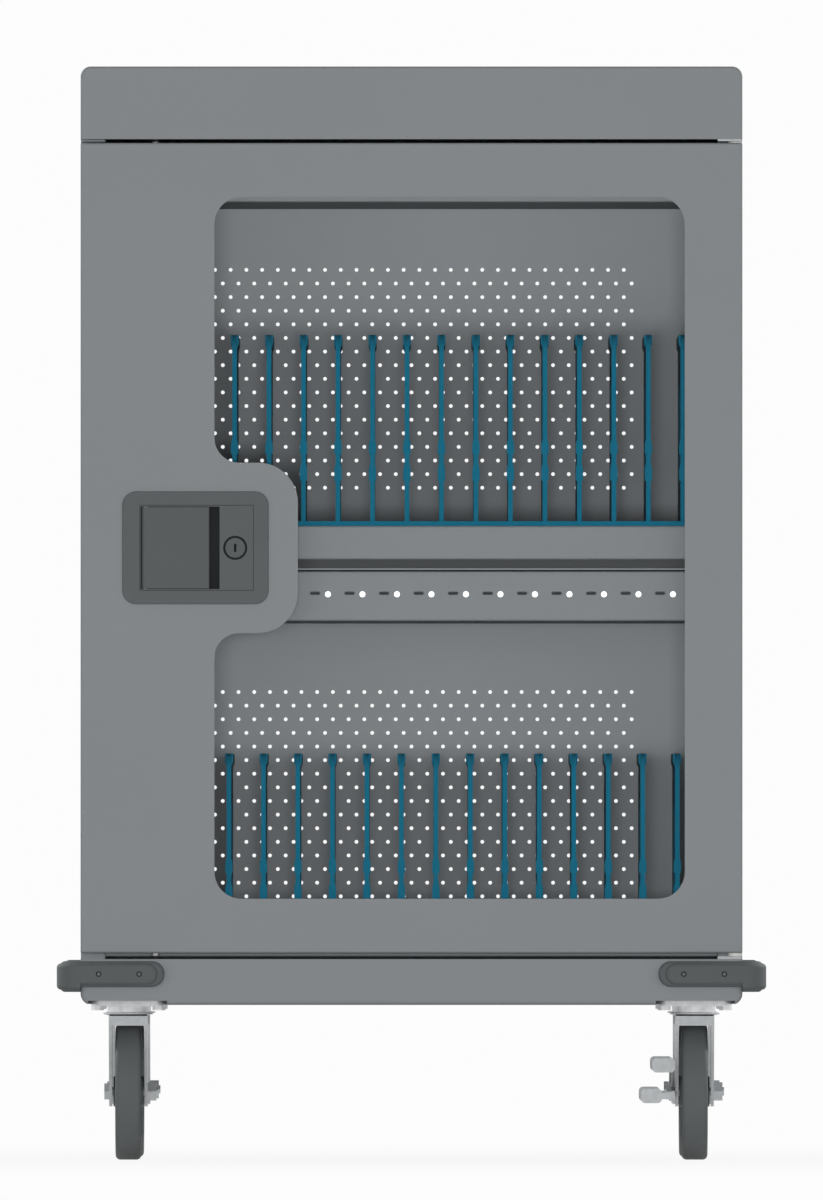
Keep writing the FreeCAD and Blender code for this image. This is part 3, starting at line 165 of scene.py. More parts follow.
class CabinetStage(bpy.types.PropertyGroup):
    """Camera and light."""

    lens: bpy.props.FloatProperty(
        name="Lens", description="Focal length of the long front view",
        subtype="DISTANCE_CAMERA", default=1100.0)
    view_height: bpy.props.FloatProperty(
        name="View height", description="Height that the picture takes in", unit="LENGTH", default=1.113)
    view_level: bpy.props.FloatProperty(
        name="View level", description="Height of the picture's middle over the floor",
        unit="LENGTH", default=0.520)
    eye_level: bpy.props.FloatProperty(
        name="Eye level", description="Height of the camera over the floor",
        unit="LENGTH", default=0.270)
    sky_strength: bpy.props.FloatProperty(
        name="Sky strength", description="Even light from all round", default=0.18)
    key_watts: bpy.props.FloatProperty(
        name="Key light", description="Power of the far front lamp", unit="POWER", default=690.0)
    fill_watts: bpy.props.FloatProperty(
        name="Fill light", description="Power of the broad front lamp", unit="POWER", default=62.0)
    side_watts: bpy.props.FloatProperty(
        name="Side lights", description="Power of each lamp that lights the sides and the rear",
        unit="POWER", default=260.0)


# Finishes: relief and grain of each surface, and how far its tone and its gloss vary

POWDER = {"relief": 0.15, "grain_scale": 900.0, "tone": (0.98, 1.02), "gloss": (0.56, 0.68), "sheen": 0.2}
LATCH = {"relief": 0.3, "grain_scale": 1200.0, "tone": (0.97, 1.03), "gloss": (0.5, 0.62), "sheen": 0.2}
DIVIDER = {"relief": 0.15, "grain_scale": 1500.0, "tone": (0.95, 1.05), "gloss": (0.4, 0.55), "sheen": 0.05}
PORT = {"relief": 0.15, "grain_scale": 1500.0, "tone": (0.95, 1.05), "gloss": (0.4, 0.55), "sheen": 0.1}
INLET = {"relief": 0.15, "grain_scale": 1500.0, "tone": (0.95, 1.05), "gloss": (0.35, 0.5), "sheen": 0.1}
NYLON = {"relief": 0.1, "grain_scale": 1500.0, "tone": (0.95, 1.05), "gloss": (0.4, 0.5), "sheen": 0.3}
HUB = {"relief": 0.2, "grain_scale": 1200.0, "tone": (0.95, 1.05), "gloss": (0.4, 0.55), "sheen": 0.3}
BOARD = {"relief": 0.1, "grain_scale": 2500.0, "tone": (0.9, 1.1), "gloss": (0.3, 0.4), "sheen": 0.3}
SEAL = {"relief": 0.2, "grain_scale": 900.0, "tone": (0.95, 1.05), "gloss": (0.6, 0.75), "sheen": 0.3}
RUBBER = {"relief": 0.3, "grain_scale": 700.0, "tone": (0.95, 1.05), "gloss": (0.55, 0.75), "sheen": 0.2}

# Depths between which a coat darkens: painted shade in the latch's pocket and the lock's key slot and groove,
# from the face of the latch or lock; and from the rear panels' outer face, which is taken back to the shell's
# grey so that only the inner face keeps the inner coat's painted light
POCKET_START, POCKET_END, POCKET_PAINTED_SHADE = 0.0006, 0.001, 0.2
REAR_START, REAR_END, REAR_OUTER_TONE = 0.0009, 0.0005, 0.74


def new_group(name, inputs, outputs):
    """An empty shader group with named sockets."""
    group = bpy.data.node_groups.new(name, "ShaderNodeTree")
    for title, kind, value in inputs:
        group.interface.new_socket(title, in_out="INPUT", socket_type=kind).default_value = value
    for title, kind in outputs:
        group.interface.new_socket(title, in_out="OUTPUT", socket_type=kind)
    return group, group.nodes.new("NodeGroupInput"), group.nodes.new("NodeGroupOutput")


def noise(group, coordinates, scale, detail):
    """A noise texture on given coordinates, its scale a number or a socket."""
    texture = group.nodes.new("ShaderNodeTexNoise")
    texture.inputs["Detail"].default_value = detail
    group.links.new(coordinates, texture.inputs["Vector"])
    if isinstance(scale, float):
        texture.inputs["Scale"].default_value = scale
    else:
        group.links.new(scale, texture.inputs["Scale"])
    return texture.outputs["Fac"]


def ranged(group, value, low, high):
    """A value from 0 to 1 spread between two others, each a number or a socket."""
    node = group.nodes.new("ShaderNodeMapRange")
    group.links.new(value, node.inputs["Value"])
    for title, limit in (("To Min", low), ("To Max", high)):
        if isinstance(limit, float):
            node.inputs[title].default_value = limit
        else:
            group.links.new(limit, node.inputs[title])
    return node.outputs["Result"]


def tinted(group, colour, factor):
    """A colour made lighter or darker by a factor."""
    node = group.nodes.new("ShaderNodeVectorMath")
    node.operation = "SCALE"
    group.links.new(colour, node.inputs[0])
    group.links.new(factor, node.inputs["Scale"])
    return node.outputs["Vector"]


def coated_group():
    """A coat or moulding with a fine grain, soft clouds of tone and uneven gloss."""
    group, given, made = new_group(
        "coated_surface",
        (("Color", "NodeSocketColor", (0.2, 0.2, 0.2, 1)), ("Grain Scale", "NodeSocketFloat", 900.0),
         ("Tone Low", "NodeSocketFloat", 0.96), ("Tone High", "NodeSocketFloat", 1.04),
         ("Gloss Low", "NodeSocketFloat", 0.4), ("Gloss High", "NodeSocketFloat", 0.55)),
        (("Color", "NodeSocketColor"), ("Roughness", "NodeSocketFloat"), ("Height", "NodeSocketFloat")))
    place = group.nodes.new("ShaderNodeTexCoord").outputs["Object"]
    grain = noise(group, place, scale=given.outputs["Grain Scale"], detail=3.0)
    cloud = noise(group, place, scale=7.0, detail=2.0)
    smear = noise(group, place, scale=40.0, detail=4.0)
    tone = ranged(group, cloud, low=given.outputs["Tone Low"], high=given.outputs["Tone High"])
    speck = ranged(group, grain, low=0.96, high=1.04)
    gloss = ranged(group, smear, low=given.outputs["Gloss Low"], high=given.outputs["Gloss High"])
    shade = tinted(group, given.outputs["Color"], tone)
    group.links.new(tinted(group, shade, speck), made.inputs["Color"])
    group.links.new(gloss, made.inputs["Roughness"])
    group.links.new(grain, made.inputs["Height"])
    return group


def plated_group():
    """Plated steel with faint rolled streaks and cloudy crystals."""
    group, given, made = new_group(
        "plated_surface",
        (("Color", "NodeSocketColor", (0.6, 0.6, 0.6, 1)), ("Crystal Scale", "NodeSocketFloat", 220.0)),
        (("Color", "NodeSocketColor"), ("Roughness", "NodeSocketFloat"), ("Height", "NodeSocketFloat")))
    place = group.nodes.new("ShaderNodeTexCoord").outputs["Object"]
    stretch = group.nodes.new("ShaderNodeMapping")
    stretch.inputs["Scale"].default_value = (60.0, 60.0, 1800.0)
    group.links.new(place, stretch.inputs["Vector"])
    streak = noise(group, stretch.outputs["Vector"], scale=1.0, detail=2.0)
    crystal = group.nodes.new("ShaderNodeTexVoronoi")
    group.links.new(place, crystal.inputs["Vector"])
    group.links.new(given.outputs["Crystal Scale"], crystal.inputs["Scale"])
    tone = ranged(group, crystal.outputs["Distance"], low=1.05, high=0.88)
    gloss = ranged(group, streak, low=0.26, high=0.46)
    group.links.new(tinted(group, given.outputs["Color"], tone), made.inputs["Color"])
    group.links.new(gloss, made.inputs["Roughness"])
    group.links.new(streak, made.inputs["Height"])
    return group


def dusty_group():
    """Floor dust that settles in patches, more of it near the floor."""
    group, given, made = new_group(
        "floor_dust",
        (("Color", "NodeSocketColor", (0.1, 0.1, 0.1, 1)), ("Dust", "NodeSocketColor", (0.3, 0.3, 0.3, 1)),
         ("Reach", "NodeSocketFloat", 0.03), ("Amount", "NodeSocketFloat", 0.3)),
        (("Color", "NodeSocketColor"),))
    place = group.nodes.new("ShaderNodeTexCoord").outputs["Object"]
    height = group.nodes.new("ShaderNodeSeparateXYZ")
    group.links.new(place, height.inputs["Vector"])
    fade = group.nodes.new("ShaderNodeMapRange")
    group.links.new(height.outputs["Z"], fade.inputs["Value"])
    group.links.new(given.outputs["Reach"], fade.inputs["From Max"])
    group.links.new(given.outputs["Amount"], fade.inputs["To Min"])
    fade.inputs["To Max"].default_value = 0.0
    patch = group.nodes.new("ShaderNodeMath")
    patch.operation = "MULTIPLY"
    group.links.new(fade.outputs["Result"], patch.inputs[0])
    group.links.new(noise(group, place, scale=150.0, detail=4.0), patch.inputs[1])
    mix = group.nodes.new("ShaderNodeMix")
    mix.data_type = "RGBA"
    factor, clean, dirty = mix.inputs[0], mix.inputs[6], mix.inputs[7]
    group.links.new(patch.outputs["Value"], factor)
    group.links.new(given.outputs["Color"], clean)
    group.links.new(given.outputs["Dust"], dirty)
    group.links.new(mix.outputs[2], made.inputs["Color"])
    return group


def new_material(name):
    """A material with a bare Principled BSDF."""
    material = bpy.data.materials.new(name)
    material.use_nodes = True
    return material, material.node_tree, material.node_tree.nodes["Principled BSDF"]


def place_group(tree, group, **values):
    """A shader group set in a material with its own values."""
    node = tree.nodes.new("ShaderNodeGroup")
    node.node_tree = group
    for title, value in values.items():
        node.inputs[title.replace("_", " ").title()].default_value = value
    return node


def bumped(tree, shader, height, strength, distance):
    """Adds relief to a shader."""
    bump = tree.nodes.new("ShaderNodeBump")
    bump.inputs["Strength"].default_value = strength
    bump.inputs["Distance"].default_value = distance
    tree.links.new(height, bump.inputs["Height"])
    tree.links.new(bump.outputs["Normal"], shader.inputs["Normal"])


def coated(name, colour, group, relief, grain_scale, tone, gloss, sheen):
    """A powder coat or a moulded surface."""
    material, tree, shader = new_material(name)
    shader.inputs["Specular IOR Level"].default_value = sheen
    coat = place_group(
        tree, group, color=(*colour, 1), grain_scale=grain_scale, tone_low=tone[0], tone_high=tone[1],
        gloss_low=gloss[0], gloss_high=gloss[1])
    tree.links.new(coat.outputs["Color"], shader.inputs["Base Color"])
    tree.links.new(coat.outputs["Roughness"], shader.inputs["Roughness"])
    bumped(tree, shader, coat.outputs["Height"], strength=relief, distance=0.0002)
    return material


def rolled_rubber(name, colour, dust, coat_group, dust_group, reach):
    """Rubber with floor dust on its low parts."""
    material = coated(name, colour, coat_group, **RUBBER)
    tree = material.node_tree
    shader = tree.nodes["Principled BSDF"]
    coat = shader.inputs["Base Color"].links[0].from_node
    dusty = place_group(tree, dust_group, dust=(*dust, 1), reach=reach)
    tree.links.new(coat.outputs["Color"], dusty.inputs["Color"])
    tree.links.new(dusty.outputs["Color"], shader.inputs["Base Color"])
    return material


def painted_depth_shading(material, start, end, darkest):
    """Darkens a coat from one depth to another: painted shade in pockets and grooves, and a darker outer face
    where a coat's painted light is kept to its inner face.
    """
    tree = material.node_tree
    shader = tree.nodes["Principled BSDF"]
    coat = shader.inputs["Base Color"].links[0].from_node
    place = tree.nodes.new("ShaderNodeTexCoord")
    depth = tree.nodes.new("ShaderNodeSeparateXYZ")
    tree.links.new(place.outputs["Object"], depth.inputs["Vector"])
    fade = tree.nodes.new("ShaderNodeMapRange")
    for title, value in (("From Min", start), ("From Max", end), ("To Min", 1.0), ("To Max", darkest)):
        fade.inputs[title].default_value = value
    tree.links.new(depth.outputs["Y"], fade.inputs["Value"])
    tree.links.new(tinted(tree, coat.outputs["Color"], fade.outputs["Result"]), shader.inputs["Base Color"])


def plated(name, colour, group):
    """Zinc-plated steel."""
    material, tree, shader = new_material(name)
    plate = place_group(tree, group, color=(*colour, 1))
    shader.inputs["Metallic"].default_value = 0.85
    tree.links.new(plate.outputs["Color"], shader.inputs["Base Color"])
    tree.links.new(plate.outputs["Roughness"], shader.inputs["Roughness"])
    bumped(tree, shader, plate.outputs["Height"], strength=0.08, distance=0.0001)
    return material


def clear_sheet(name, colour, group):
    """A clear plastic sheet, nearly invisible from the front."""
    material, tree, shader = new_material(name)
    coat = place_group(tree, group, color=(*colour, 1), grain_scale=60.0, gloss_low=0.03, gloss_high=0.06)
    tree.links.new(coat.outputs["Roughness"], shader.inputs["Roughness"])
    tree.links.new(coat.outputs["Color"], shader.inputs["Base Color"])
    shader.inputs["Alpha"].default_value = 0.012
    return material


def light_lens(name, colour, group):
    """A milky light pipe that glows white."""
    material, tree, shader = new_material(name)
    coat = place_group(tree, group, color=(*colour, 1), gloss_low=0.15, gloss_high=0.25)
    tree.links.new(coat.outputs["Color"], shader.inputs["Base Color"])
    tree.links.new(coat.outputs["Roughness"], shader.inputs["Roughness"])
    tree.links.new(coat.outputs["Color"], shader.inputs["Emission Color"])
    shader.inputs["Emission Strength"].default_value = 1.3
    return material


def finish(name):
    """A material by name."""
    return bpy.data.materials[name]


def dress(node_names, material):
    """Gives CAD nodes a material."""
    for name in node_names:
        slots = nodes[name].data.materials
        slots.clear()
        slots.append(finish(material))


# Small fittings


def new_object(name, mesh):
    """An object at the origin in the scene."""
    piece = bpy.data.objects.new(name, mesh)
    bpy.context.scene.collection.objects.link(piece)
    return piece


def mesh_from(name, points, faces):
    """A mesh of points and faces, with its faces turned outwards."""
    mesh = bpy.data.meshes.new(name)
    mesh.from_pydata(points, [], faces)
    work = bmesh.new()
    work.from_mesh(mesh)
    bmesh.ops.recalc_face_normals(work, faces=work.faces)
    work.to_mesh(mesh)
    work.free()
    return mesh


def ring_solid(name, rings):
    """A closed shape through rings of equal count, from the bottom centre to the top centre."""
    count = len(rings[0])
    points = [point for ring in rings for point in ring]
    faces = [tuple(range(count))[::-1]]
    for i in range(len(rings) - 1):
        for j in range(count):
            a = i * count + j
            b = i * count + (j + 1) % count
            faces.append((a, b, b + count, a + count))
    last = (len(rings) - 1) * count
    faces.append(tuple(range(last, last + count)))
    return mesh_from(name, points, faces)


def circle(radius, height, count=12):
    """Points round a circle."""
    turns = [2 * math.pi * i / count for i in range(count)]
    return [(radius * math.cos(t), radius * math.sin(t), height) for t in turns]


def hexagon(radius, height):
    """Twelve points round a hexagon: its corners and the middles of its sides."""
    inner = radius * math.cos(math.pi / 6)
    turns = [math.pi * i / 6 for i in range(12)]
    return [((radius, inner)[i % 2] * math.cos(t), (radius, inner)[i % 2] * math.sin(t), height)
            for i, t in enumerate(turns)]


def screw_head():
    """A domed head with a hexagon socket, of radius 1, looking along +Z."""
    dome = ((1.0, 0.0), (1.0, 0.25), (0.86, 0.5), (0.62, 0.6))
    socket_radius, socket_mouth, socket_floor = 0.5, 0.6, 0.2
    rings = [circle(radius, height) for radius, height in dome]
    rings += [hexagon(socket_radius, socket_mouth), hexagon(socket_radius, socket_floor)]
    return ring_solid("screw_head", rings)


def port_tongue():
    """The contact blade in a port, 1 wide, looking along +Z out of the port."""
    half, thin = 0.5, 0.055
    knee_height, tip_height = 0.54, 0.62
    tip_width_share, tip_thin_share = 0.96, 0.6
    foot = [(-half, -thin, 0.0), (half, -thin, 0.0), (half, thin, 0.0), (-half, thin, 0.0)]
    knee = [(x, y, knee_height) for x, y, _ in foot]
    tip = [(x * tip_width_share, y * tip_thin_share, tip_height) for x, y, _ in foot]
    return ring_solid("port_tongue", [foot, knee, tip])


def hub_rib():
    """A tapered rib on a hub's face, 1 long along Z."""
    foot, waist, end = (0.0, 0.1, 0.24), (0.5, 0.075, 0.12), (1.0, 0.1, 0.17)
    rings = []
    for height, wide, deep in (foot, waist, end):
        corners = ((-wide, -deep), (wide, -deep), (wide, deep), (-wide, deep))
        rings.append([(x, y, height) for x, y in corners])
    return ring_solid("hub_rib", rings)


def scatter_tree():
    """A Geometry Nodes tree that sets one shape on each point, turned to the point's own direction."""
    tree = bpy.data.node_groups.new("shapes_on_points", "GeometryNodeTree")
    for title, kind in (("Points", "NodeSocketGeometry"), ("Shape", "NodeSocketObject"),
                        ("Size", "NodeSocketFloat"), ("Finish", "NodeSocketMaterial")):
        tree.interface.new_socket(title, in_out="INPUT", socket_type=kind)
    tree.interface.new_socket("Pieces", in_out="OUTPUT", socket_type="NodeSocketGeometry")
    given = tree.nodes.new("NodeGroupInput")
    made = tree.nodes.new("NodeGroupOutput")
    shape = tree.nodes.new("GeometryNodeObjectInfo")
    facing = tree.nodes.new("GeometryNodeInputNamedAttribute")
    facing.data_type = "FLOAT_VECTOR"
    facing.inputs["Name"].default_value = "facing"
    turn = tree.nodes.new("FunctionNodeAlignRotationToVector")
    turn.axis = "Z"
    spread = tree.nodes.new("GeometryNodeInstanceOnPoints")
    joined = tree.nodes.new("GeometryNodeRealizeInstances")
    paint = tree.nodes.new("GeometryNodeSetMaterial")
    link = tree.links.new
    link(given.outputs["Shape"], shape.inputs["Object"])
    link(facing.outputs["Attribute"], turn.inputs["Vector"])
    link(given.outputs["Points"], spread.inputs["Points"])
    link(shape.outputs["Geometry"], spread.inputs["Instance"])
    link(turn.outputs["Rotation"], spread.inputs["Rotation"])
    link(given.outputs["Size"], spread.inputs["Scale"])
    link(spread.outputs["Instances"], joined.inputs["Geometry"])
    link(joined.outputs["Geometry"], paint.inputs["Geometry"])
    link(given.outputs["Finish"], paint.inputs["Material"])
    link(paint.outputs["Geometry"], made.inputs["Pieces"])
    return tree


def scatter(name, shape_mesh, places, size, material, body):
    """One piece of like shapes, each at a point and turned to its own direction."""
    tree = bpy.data.node_groups.get("shapes_on_points") or scatter_tree()
    shape = new_object(name + "_shape", shape_mesh)
    points = bpy.data.meshes.new(name + "_points")
    points.from_pydata([point for point, _ in places], [], [])
    directions = points.attributes.new("facing", "FLOAT_VECTOR", "POINT")
    for item, (_, facing) in zip(directions.data, places):
        item.vector = facing
    carrier = new_object(name + "_carrier", points)
    modifier = carrier.modifiers.new("pieces", "NODES")
    modifier.node_group = tree
    values = {"Shape": shape, "Size": size, "Finish": finish(material)}
    for item in tree.interface.items_tree:
        if item.in_out == "INPUT" and item.name in values:
            modifier[item.identifier] = values[item.name]
    evaluated = carrier.evaluated_get(bpy.context.evaluated_depsgraph_get())
    mesh = bpy.data.meshes.new_from_object(evaluated)
    carrier.modifiers.remove(modifier)
    bpy.data.objects.remove(carrier)
    bpy.data.objects.remove(shape)
    mesh.name = name
    piece = new_object(name, mesh)
    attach(piece, body)
    return piece


class CABINET_OT_finishes(bpy.types.Operator):
    """Makes the materials"""

    bl_idname = "cabinet.finishes"
    bl_label = "Make finishes"

    def execute(self, context):
        colours = context.scene.cabinet_colours
        coat, plate, dust = coated_group(), plated_group(), dusty_group()
        coated("powder_coat", colours.coat_grey, coat, **POWDER)
        # The inner coat is the powder coat made lighter, painted light for the inside of the bays
        inner = coated("inner_painted_light_coat", colours.inner_painted_light_grey, coat, **POWDER)
        latch = coated("latch_coat", colours.latch_grey, coat, **LATCH)
        coated("paddle_coat", colours.paddle_grey, coat, **LATCH)
        lock = coated("lock_coat", colours.paddle_grey, coat, **LATCH)
        # The rear panels' outer face is darkened back to the shell's grey, so the painted light stays on
        # their inner face
        rear_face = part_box("upper_rear_panel")[1].y
        painted_depth_shading(inner, rear_face - REAR_START, rear_face - REAR_END, REAR_OUTER_TONE)
        # Painted shade: the latch's pocket and the lock's key slot and groove are darkened behind their front
        # faces
        for material, node in ((latch, "latch_housing"), (lock, "lock_barrel")):
            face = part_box(node)[0].y
            painted_depth_shading(material, face + POCKET_START, face + POCKET_END, POCKET_PAINTED_SHADE)
        coated("moulded_teal", colours.divider_teal, coat, **DIVIDER)
        coated("moulded_black", colours.moulded_black, coat, **INLET)
        coated("port_moulding", colours.port_grey, coat, **PORT)
        coated("moulded_nylon", colours.nylon_white, coat, **NYLON)
        coated("hub_moulding", colours.hub_black, coat, **HUB)
        coated("board_lacquer", colours.board_green, coat, **BOARD)
        coated("window_rubber", colours.seal_black, coat, **SEAL)
        rolled_rubber("corner_rubber", colours.bumper_grey, colours.dust, coat, dust, reach=0.17)
        rolled_rubber("wheel_rubber", colours.tyre_grey, colours.dust, coat, dust, reach=0.03)
        plated("zinc_plate", colours.zinc, plate)
        plated("bright_zinc_plate", colours.bright_zinc, plate)
        plated("dark_steel", colours.dark_steel, plate)
        plated("supply_plate", colours.case_steel, plate)
        clear_sheet("clear_sheet", colours.pane_tint, coat)
        light_lens("light_pipe", colours.light_white, coat)
        return {"FINISHED"}


class CABINET_OT_shell(bpy.types.Operator):
    """Coats the cabinet's sheet metal and its bumpers"""

    bl_idname = "cabinet.shell"
    bl_label = "Finish the shell"

    def execute(self, context):
        dress(("top_cap", "plinth_tray", "left_side_panel", "right_side_panel", "middle_shelf", "floor_panel",
               "upper_port_channel", "lower_port_channel", "channel_lids"), "powder_coat")
        # Painted light: the rear panels and wire duct take the lightened inner coat
        dress(("upper_rear_panel", "lower_rear_panel", "wire_duct"), "inner_painted_light_coat")
        dress([corner + "_bumper" for corner in CORNERS], "corner_rubber")
        dress(("mains_inlet",), "moulded_black")
        dress(("hinge_pivots",), "zinc_plate")
        return {"FINISHED"}


class CABINET_OT_bays(bpy.types.Operator):
    """Finishes the trays, dividers, boards, ports and lights"""

    bl_idname = "cabinet.bays"
    bl_label = "Finish the bays"

    def execute(self, context):
        dress(("upper_tray", "lower_tray", "upper_dividers", "lower_dividers"), "moulded_teal")
        dress(("charging_ports",), "port_moulding")
        dress(("port_boards",), "board_lacquer")
        dress(("power_supplies",), "supply_plate")
        dress(("status_lights",), "light_pipe")
        return {"FINISHED"}


class CABINET_OT_door(bpy.types.Operator):
    """Finishes the door, its window, its latch and its lock work"""

    bl_idname = "cabinet.door"
    bl_label = "Finish the door"

    def execute(self, context):
        dress(("door_panel",), "powder_coat")
        dress(("window_pane",), "clear_sheet")
        dress(("window_seal",), "window_rubber")
        dress(("latch_housing",), "latch_coat")
        dress(("latch_paddle",), "paddle_coat")
        dress(("lock_barrel",), "lock_coat")
        dress(("rod_guides", "hinge_bushes"), "moulded_nylon")
        dress(("pane_clips", "paddle_pin", "lock_crank", "rod_cam", "cam_link"), "zinc_plate")
        dress(("upper_lock_rod", "lower_lock_rod"), "bright_zinc_plate")
        return {"FINISHED"}


class CABINET_OT_casters(bpy.types.Operator):
    """Finishes the casters and their brake levers"""

    bl_idname = "cabinet.casters"
    bl_label = "Finish the casters"

    def execute(self, context):
        dress(("caster_plates", "caster_bolts"), "bright_zinc_plate")
        dress(("king_pins",), "zinc_plate")
        dress([corner + "_fork" for corner in CORNERS], "zinc_plate")
        dress([corner + "_brake_lever" for corner in BRAKED], "zinc_plate")
        dress([corner + "_hub" for corner in CORNERS], "hub_moulding")
        dress([corner + "_tyre" for corner in CORNERS], "wheel_rubber")
        return {"FINISHED"}


class CABINET_OT_bumper_screws(bpy.types.Operator):
    """Sets screws in the dimples of the bumpers"""

    bl_idname = "cabinet.bumper_screws"
    bl_label = "Bumper screws"

    def execute(self, context):
        sizes = context.scene.cabinet_sizes
        shell_low, shell_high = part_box("plinth_tray")
        places = []
        for corner in CORNERS:
            low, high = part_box(corner + "_bumper")
            y_sign = -1 if corner.startswith("front") else 1
            x_sign = -1 if corner.endswith("left") else 1
            level = (shell_low.z + shell_high.z) / 2 + sizes.bumper_screw_rise
            face_y = (low.y if y_sign < 0 else high.y) - y_sign * sizes.dimple_depth
            face_x = (low.x if x_sign < 0 else high.x) - x_sign * sizes.dimple_depth
            for inset in (sizes.bumper_near_screw, sizes.bumper_far_screw):
                places.append(((x_sign * (shell_high.x - inset), face_y, level), (0, y_sign, 0)))
                places.append(((face_x, y_sign * (shell_high.y - inset), level), (x_sign, 0, 0)))
        radius = sizes.bumper_screw_radius
        scatter("bumper_screws", screw_head(), places, radius, "dark_steel", "cabinet")
        return {"FINISHED"}


class CABINET_OT_rear_screws(bpy.types.Operator):
    """Sets screws round the edges of the rear panels"""

    bl_idname = "cabinet.rear_screws"
    bl_label = "Rear panel screws"

    def execute(self, context):
        sizes = context.scene.cabinet_sizes
        inset = sizes.rear_screw_inset
        places = []
        for panel in ("upper_rear_panel", "lower_rear_panel"):
            low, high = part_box(panel)
            run = high.z - low.z - 2 * inset
            for row in range(sizes.rear_screw_rows):
                z = low.z + inset + run * row / (sizes.rear_screw_rows - 1)
                for x in (low.x + inset, high.x - inset):
                    places.append(((x, high.y, z), (0, 1, 0)))
        radius = sizes.screw_radius
        scatter("rear_panel_screws", screw_head(), places, radius, "zinc_plate", "cabinet")
        return {"FINISHED"}


class CABINET_OT_port_tongues(bpy.types.Operator):
    """Sets a contact blade in each charging port"""

    bl_idname = "cabinet.port_tongues"
    bl_label = "Port tongues"

    def execute(self, context):
        sizes = context.scene.cabinet_sizes
        low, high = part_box("charging_ports")
        levels = {"upper_tray": high.z - sizes.port_half_height, "lower_tray": low.z + sizes.port_half_height}
        places = []
        for tray, level in levels.items():
            tray_low, tray_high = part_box(tray)
            middle = (tray_low.x + tray_high.x) / 2
            for i in range(sizes.port_count):
                x = middle + (i - (sizes.port_count - 1) / 2) * sizes.port_pitch
                places.append(((x, low.y + sizes.blade_depth, level), (0, -1, 0)))
        width = sizes.blade_width
        scatter("port_tongues", port_tongue(), places, width, "moulded_black", "cabinet")
        return {"FINISHED"}


class CABINET_OT_hub_ribs(bpy.types.Operator):
    """Sets stiffening ribs on both faces of each hub"""

    bl_idname = "cabinet.hub_ribs"
    bl_label = "Hub ribs"

    def execute(self, context):
        sizes = context.scene.cabinet_sizes
        length = sizes.rib_length
        for corner in CORNERS:
            low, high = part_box(corner + "_hub")
            centre = (low + high) / 2
            places = []
            for side in (-1, 1):
                for i in range(sizes.rib_count):
                    turn = 2 * math.pi * i / sizes.rib_count
                    out = Vector((0, math.cos(turn), math.sin(turn)))
                    start = centre + Vector((side * sizes.rib_offset, 0, 0)) + out * sizes.rib_start
                    places.append((start, out))
            name, wheel = corner + "_hub_ribs", corner + "_wheel"
            scatter(name, hub_rib(), places, length, "hub_moulding", wheel)
        return {"FINISHED"}


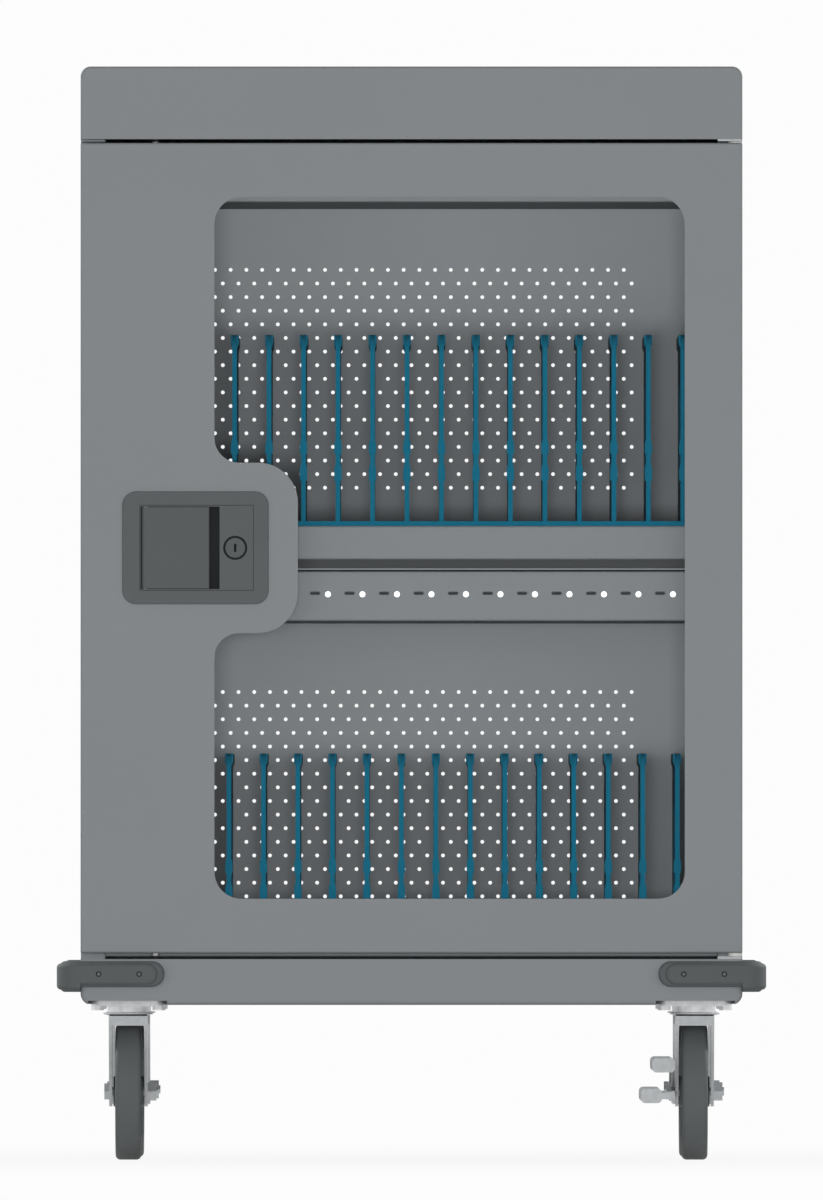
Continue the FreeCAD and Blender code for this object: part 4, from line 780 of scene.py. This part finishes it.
class CABINET_OT_stage(bpy.types.Operator):
    """Sets the floor, the light and the camera"""

    bl_idname = "cabinet.stage"
    bl_label = "Set the stage"

    def execute(self, context):
        stage = context.scene.cabinet_stage
        reach = 40.0
        corners = [(-reach, -reach, 0), (reach, -reach, 0), (reach, reach, 0), (-reach, reach, 0)]
        floor = new_object("floor", mesh_from("floor", corners, [(0, 1, 2, 3)]))
        floor.data.materials.append(self.floor_material())
        context.scene.world = self.sky(stage.sky_strength)
        key = self.lamp("key_lamp", place=(0.0, -12.0, 0.32), size=(1.1, 0.6), watts=stage.key_watts)
        fill = self.lamp("fill_lamp", place=(0.0, -5.0, 0.5), size=(5.0, 0.9), watts=stage.fill_watts)
        key.visible_glossy = False
        fill.visible_glossy = False
        self.lamp("left_lamp", place=(-4.5, 3.0, 3.0), size=(2.5, 2.5), watts=stage.side_watts)
        self.lamp("right_lamp", place=(4.5, 3.0, 3.0), size=(2.5, 2.5), watts=stage.side_watts)
        self.camera(stage)
        context.scene.view_settings.view_transform = "Standard"
        return {"FINISHED"}

    def seen(self, tree):
        """A factor of 1 for what the camera sees straight, in gloss or through glass."""
        path = tree.nodes.new("ShaderNodeLightPath")
        total = path.outputs["Is Camera Ray"]
        for title in ("Is Glossy Ray", "Is Transmission Ray"):
            most = tree.nodes.new("ShaderNodeMath")
            most.operation = "MAXIMUM"
            tree.links.new(total, most.inputs[0])
            tree.links.new(path.outputs[title], most.inputs[1])
            total = most.outputs["Value"]
        return total

    def floor_material(self):
        """A pale floor that keeps a soft shadow and meets the white background."""
        material, tree, shader = new_material("pale_floor")
        shader.inputs["Base Color"].default_value = (0.4, 0.4, 0.4, 1)
        shader.inputs["Roughness"].default_value = 0.9
        glow = tree.nodes.new("ShaderNodeEmission")
        glow.inputs["Color"].default_value = (0.98, 0.98, 0.98, 1)
        place = tree.nodes.new("ShaderNodeTexCoord")
        far = tree.nodes.new("ShaderNodeVectorMath")
        far.operation = "LENGTH"
        tree.links.new(place.outputs["Object"], far.inputs[0])
        clearing = tree.nodes.new("ShaderNodeMapRange")
        for title, value in (("From Min", 0.5), ("From Max", 2.0), ("To Min", 0.93), ("To Max", 1.0)):
            clearing.inputs[title].default_value = value
        tree.links.new(far.outputs["Value"], clearing.inputs["Value"])
        share = tree.nodes.new("ShaderNodeMath")
        share.operation = "MULTIPLY"
        tree.links.new(self.seen(tree), share.inputs[0])
        tree.links.new(clearing.outputs["Result"], share.inputs[1])
        mix = tree.nodes.new("ShaderNodeMixShader")
        tree.links.new(share.outputs["Value"], mix.inputs["Fac"])
        tree.links.new(shader.outputs["BSDF"], mix.inputs[1])
        tree.links.new(glow.outputs["Emission"], mix.inputs[2])
        tree.links.new(mix.outputs["Shader"], tree.nodes["Material Output"].inputs["Surface"])
        return material

    def sky(self, strength):
        """Even soft light, white where it is seen."""
        world = bpy.data.worlds.new("studio")
        world.use_nodes = True
        tree = world.node_tree
        background = tree.nodes["Background"]
        background.inputs["Color"].default_value = (1, 1, 1, 1)
        level = tree.nodes.new("ShaderNodeMapRange")
        level.inputs["To Min"].default_value = strength
        level.inputs["To Max"].default_value = 0.98
        tree.links.new(self.seen(tree), level.inputs["Value"])
        tree.links.new(level.outputs["Result"], background.inputs["Strength"])
        return world

    def lamp(self, name, place, size, watts):
        """A soft lamp of a given width and height, turned to the middle of the cabinet."""
        middle = Vector((0.0, 0.0, 0.55))
        data = bpy.data.lights.new(name, "AREA")
        data.shape = "RECTANGLE"
        data.size, data.size_y = size
        data.energy = watts
        lamp = bpy.data.objects.new(name, data)
        lamp.location = place
        lamp.rotation_euler = (middle - Vector(place)).to_track_quat("-Z", "Y").to_euler()
        lamp.visible_camera = False
        bpy.context.scene.collection.objects.link(lamp)
        return lamp

    def camera(self, stage):
        """A straight front view through a very long lens."""
        data = bpy.data.cameras.new("front_view")
        data.lens = stage.lens
        data.sensor_width = 36.0
        distance = stage.lens / data.sensor_width * stage.view_height
        data.clip_start = 1.0
        data.clip_end = distance * 3
        camera = bpy.data.objects.new("front_view", data)
        door_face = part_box("door_panel")[0].y
        camera.location = (0.0, door_face - distance, stage.eye_level)
        tilt = math.atan2(stage.view_level - stage.eye_level, distance)
        camera.rotation_euler = (math.radians(90) + tilt, 0.0, 0.0)
        bpy.context.scene.collection.objects.link(camera)
        bpy.context.scene.camera = camera


OPERATORS = (
    CABINET_OT_finishes, CABINET_OT_shell, CABINET_OT_bays, CABINET_OT_door, CABINET_OT_casters,
    CABINET_OT_bumper_screws, CABINET_OT_rear_screws, CABINET_OT_port_tongues, CABINET_OT_hub_ribs,
    CABINET_OT_stage,
)


class CABINET_PT_sidebar(bpy.types.Panel):
    """Lists the cabinet's pieces and settings"""

    bl_idname = "CABINET_PT_sidebar"
    bl_label = "Charging cabinet"
    bl_space_type = "VIEW_3D"
    bl_region_type = "UI"
    bl_category = "Cabinet"

    def draw(self, context):
        scene = context.scene
        for group in (scene.cabinet_colours, scene.cabinet_sizes, scene.cabinet_stage):
            for name in group.__annotations__:
                self.layout.prop(group, name)
        for operator in OPERATORS:
            self.layout.operator(operator.bl_idname)


CLASSES = (CabinetColours, CabinetSizes, CabinetStage, *OPERATORS, CABINET_PT_sidebar)


def register():
    """Registers the classes and hangs the settings on the scene."""
    for item in CLASSES:
        bpy.utils.register_class(item)
    bpy.types.Scene.cabinet_colours = bpy.props.PointerProperty(type=CabinetColours)
    bpy.types.Scene.cabinet_sizes = bpy.props.PointerProperty(type=CabinetSizes)
    bpy.types.Scene.cabinet_stage = bpy.props.PointerProperty(type=CabinetStage)


def unregister():
    """Takes the settings and the classes away again."""
    for name in ("cabinet_colours", "cabinet_sizes", "cabinet_stage"):
        delattr(bpy.types.Scene, name)
    for item in reversed(CLASSES):
        bpy.utils.unregister_class(item)


def main():
    """Runs every operator in order."""
    register()
    for operator in OPERATORS:
        family, name = operator.bl_idname.split(".")
        getattr(getattr(bpy.ops, family), name)()


if __name__ == "__main__":
    main()
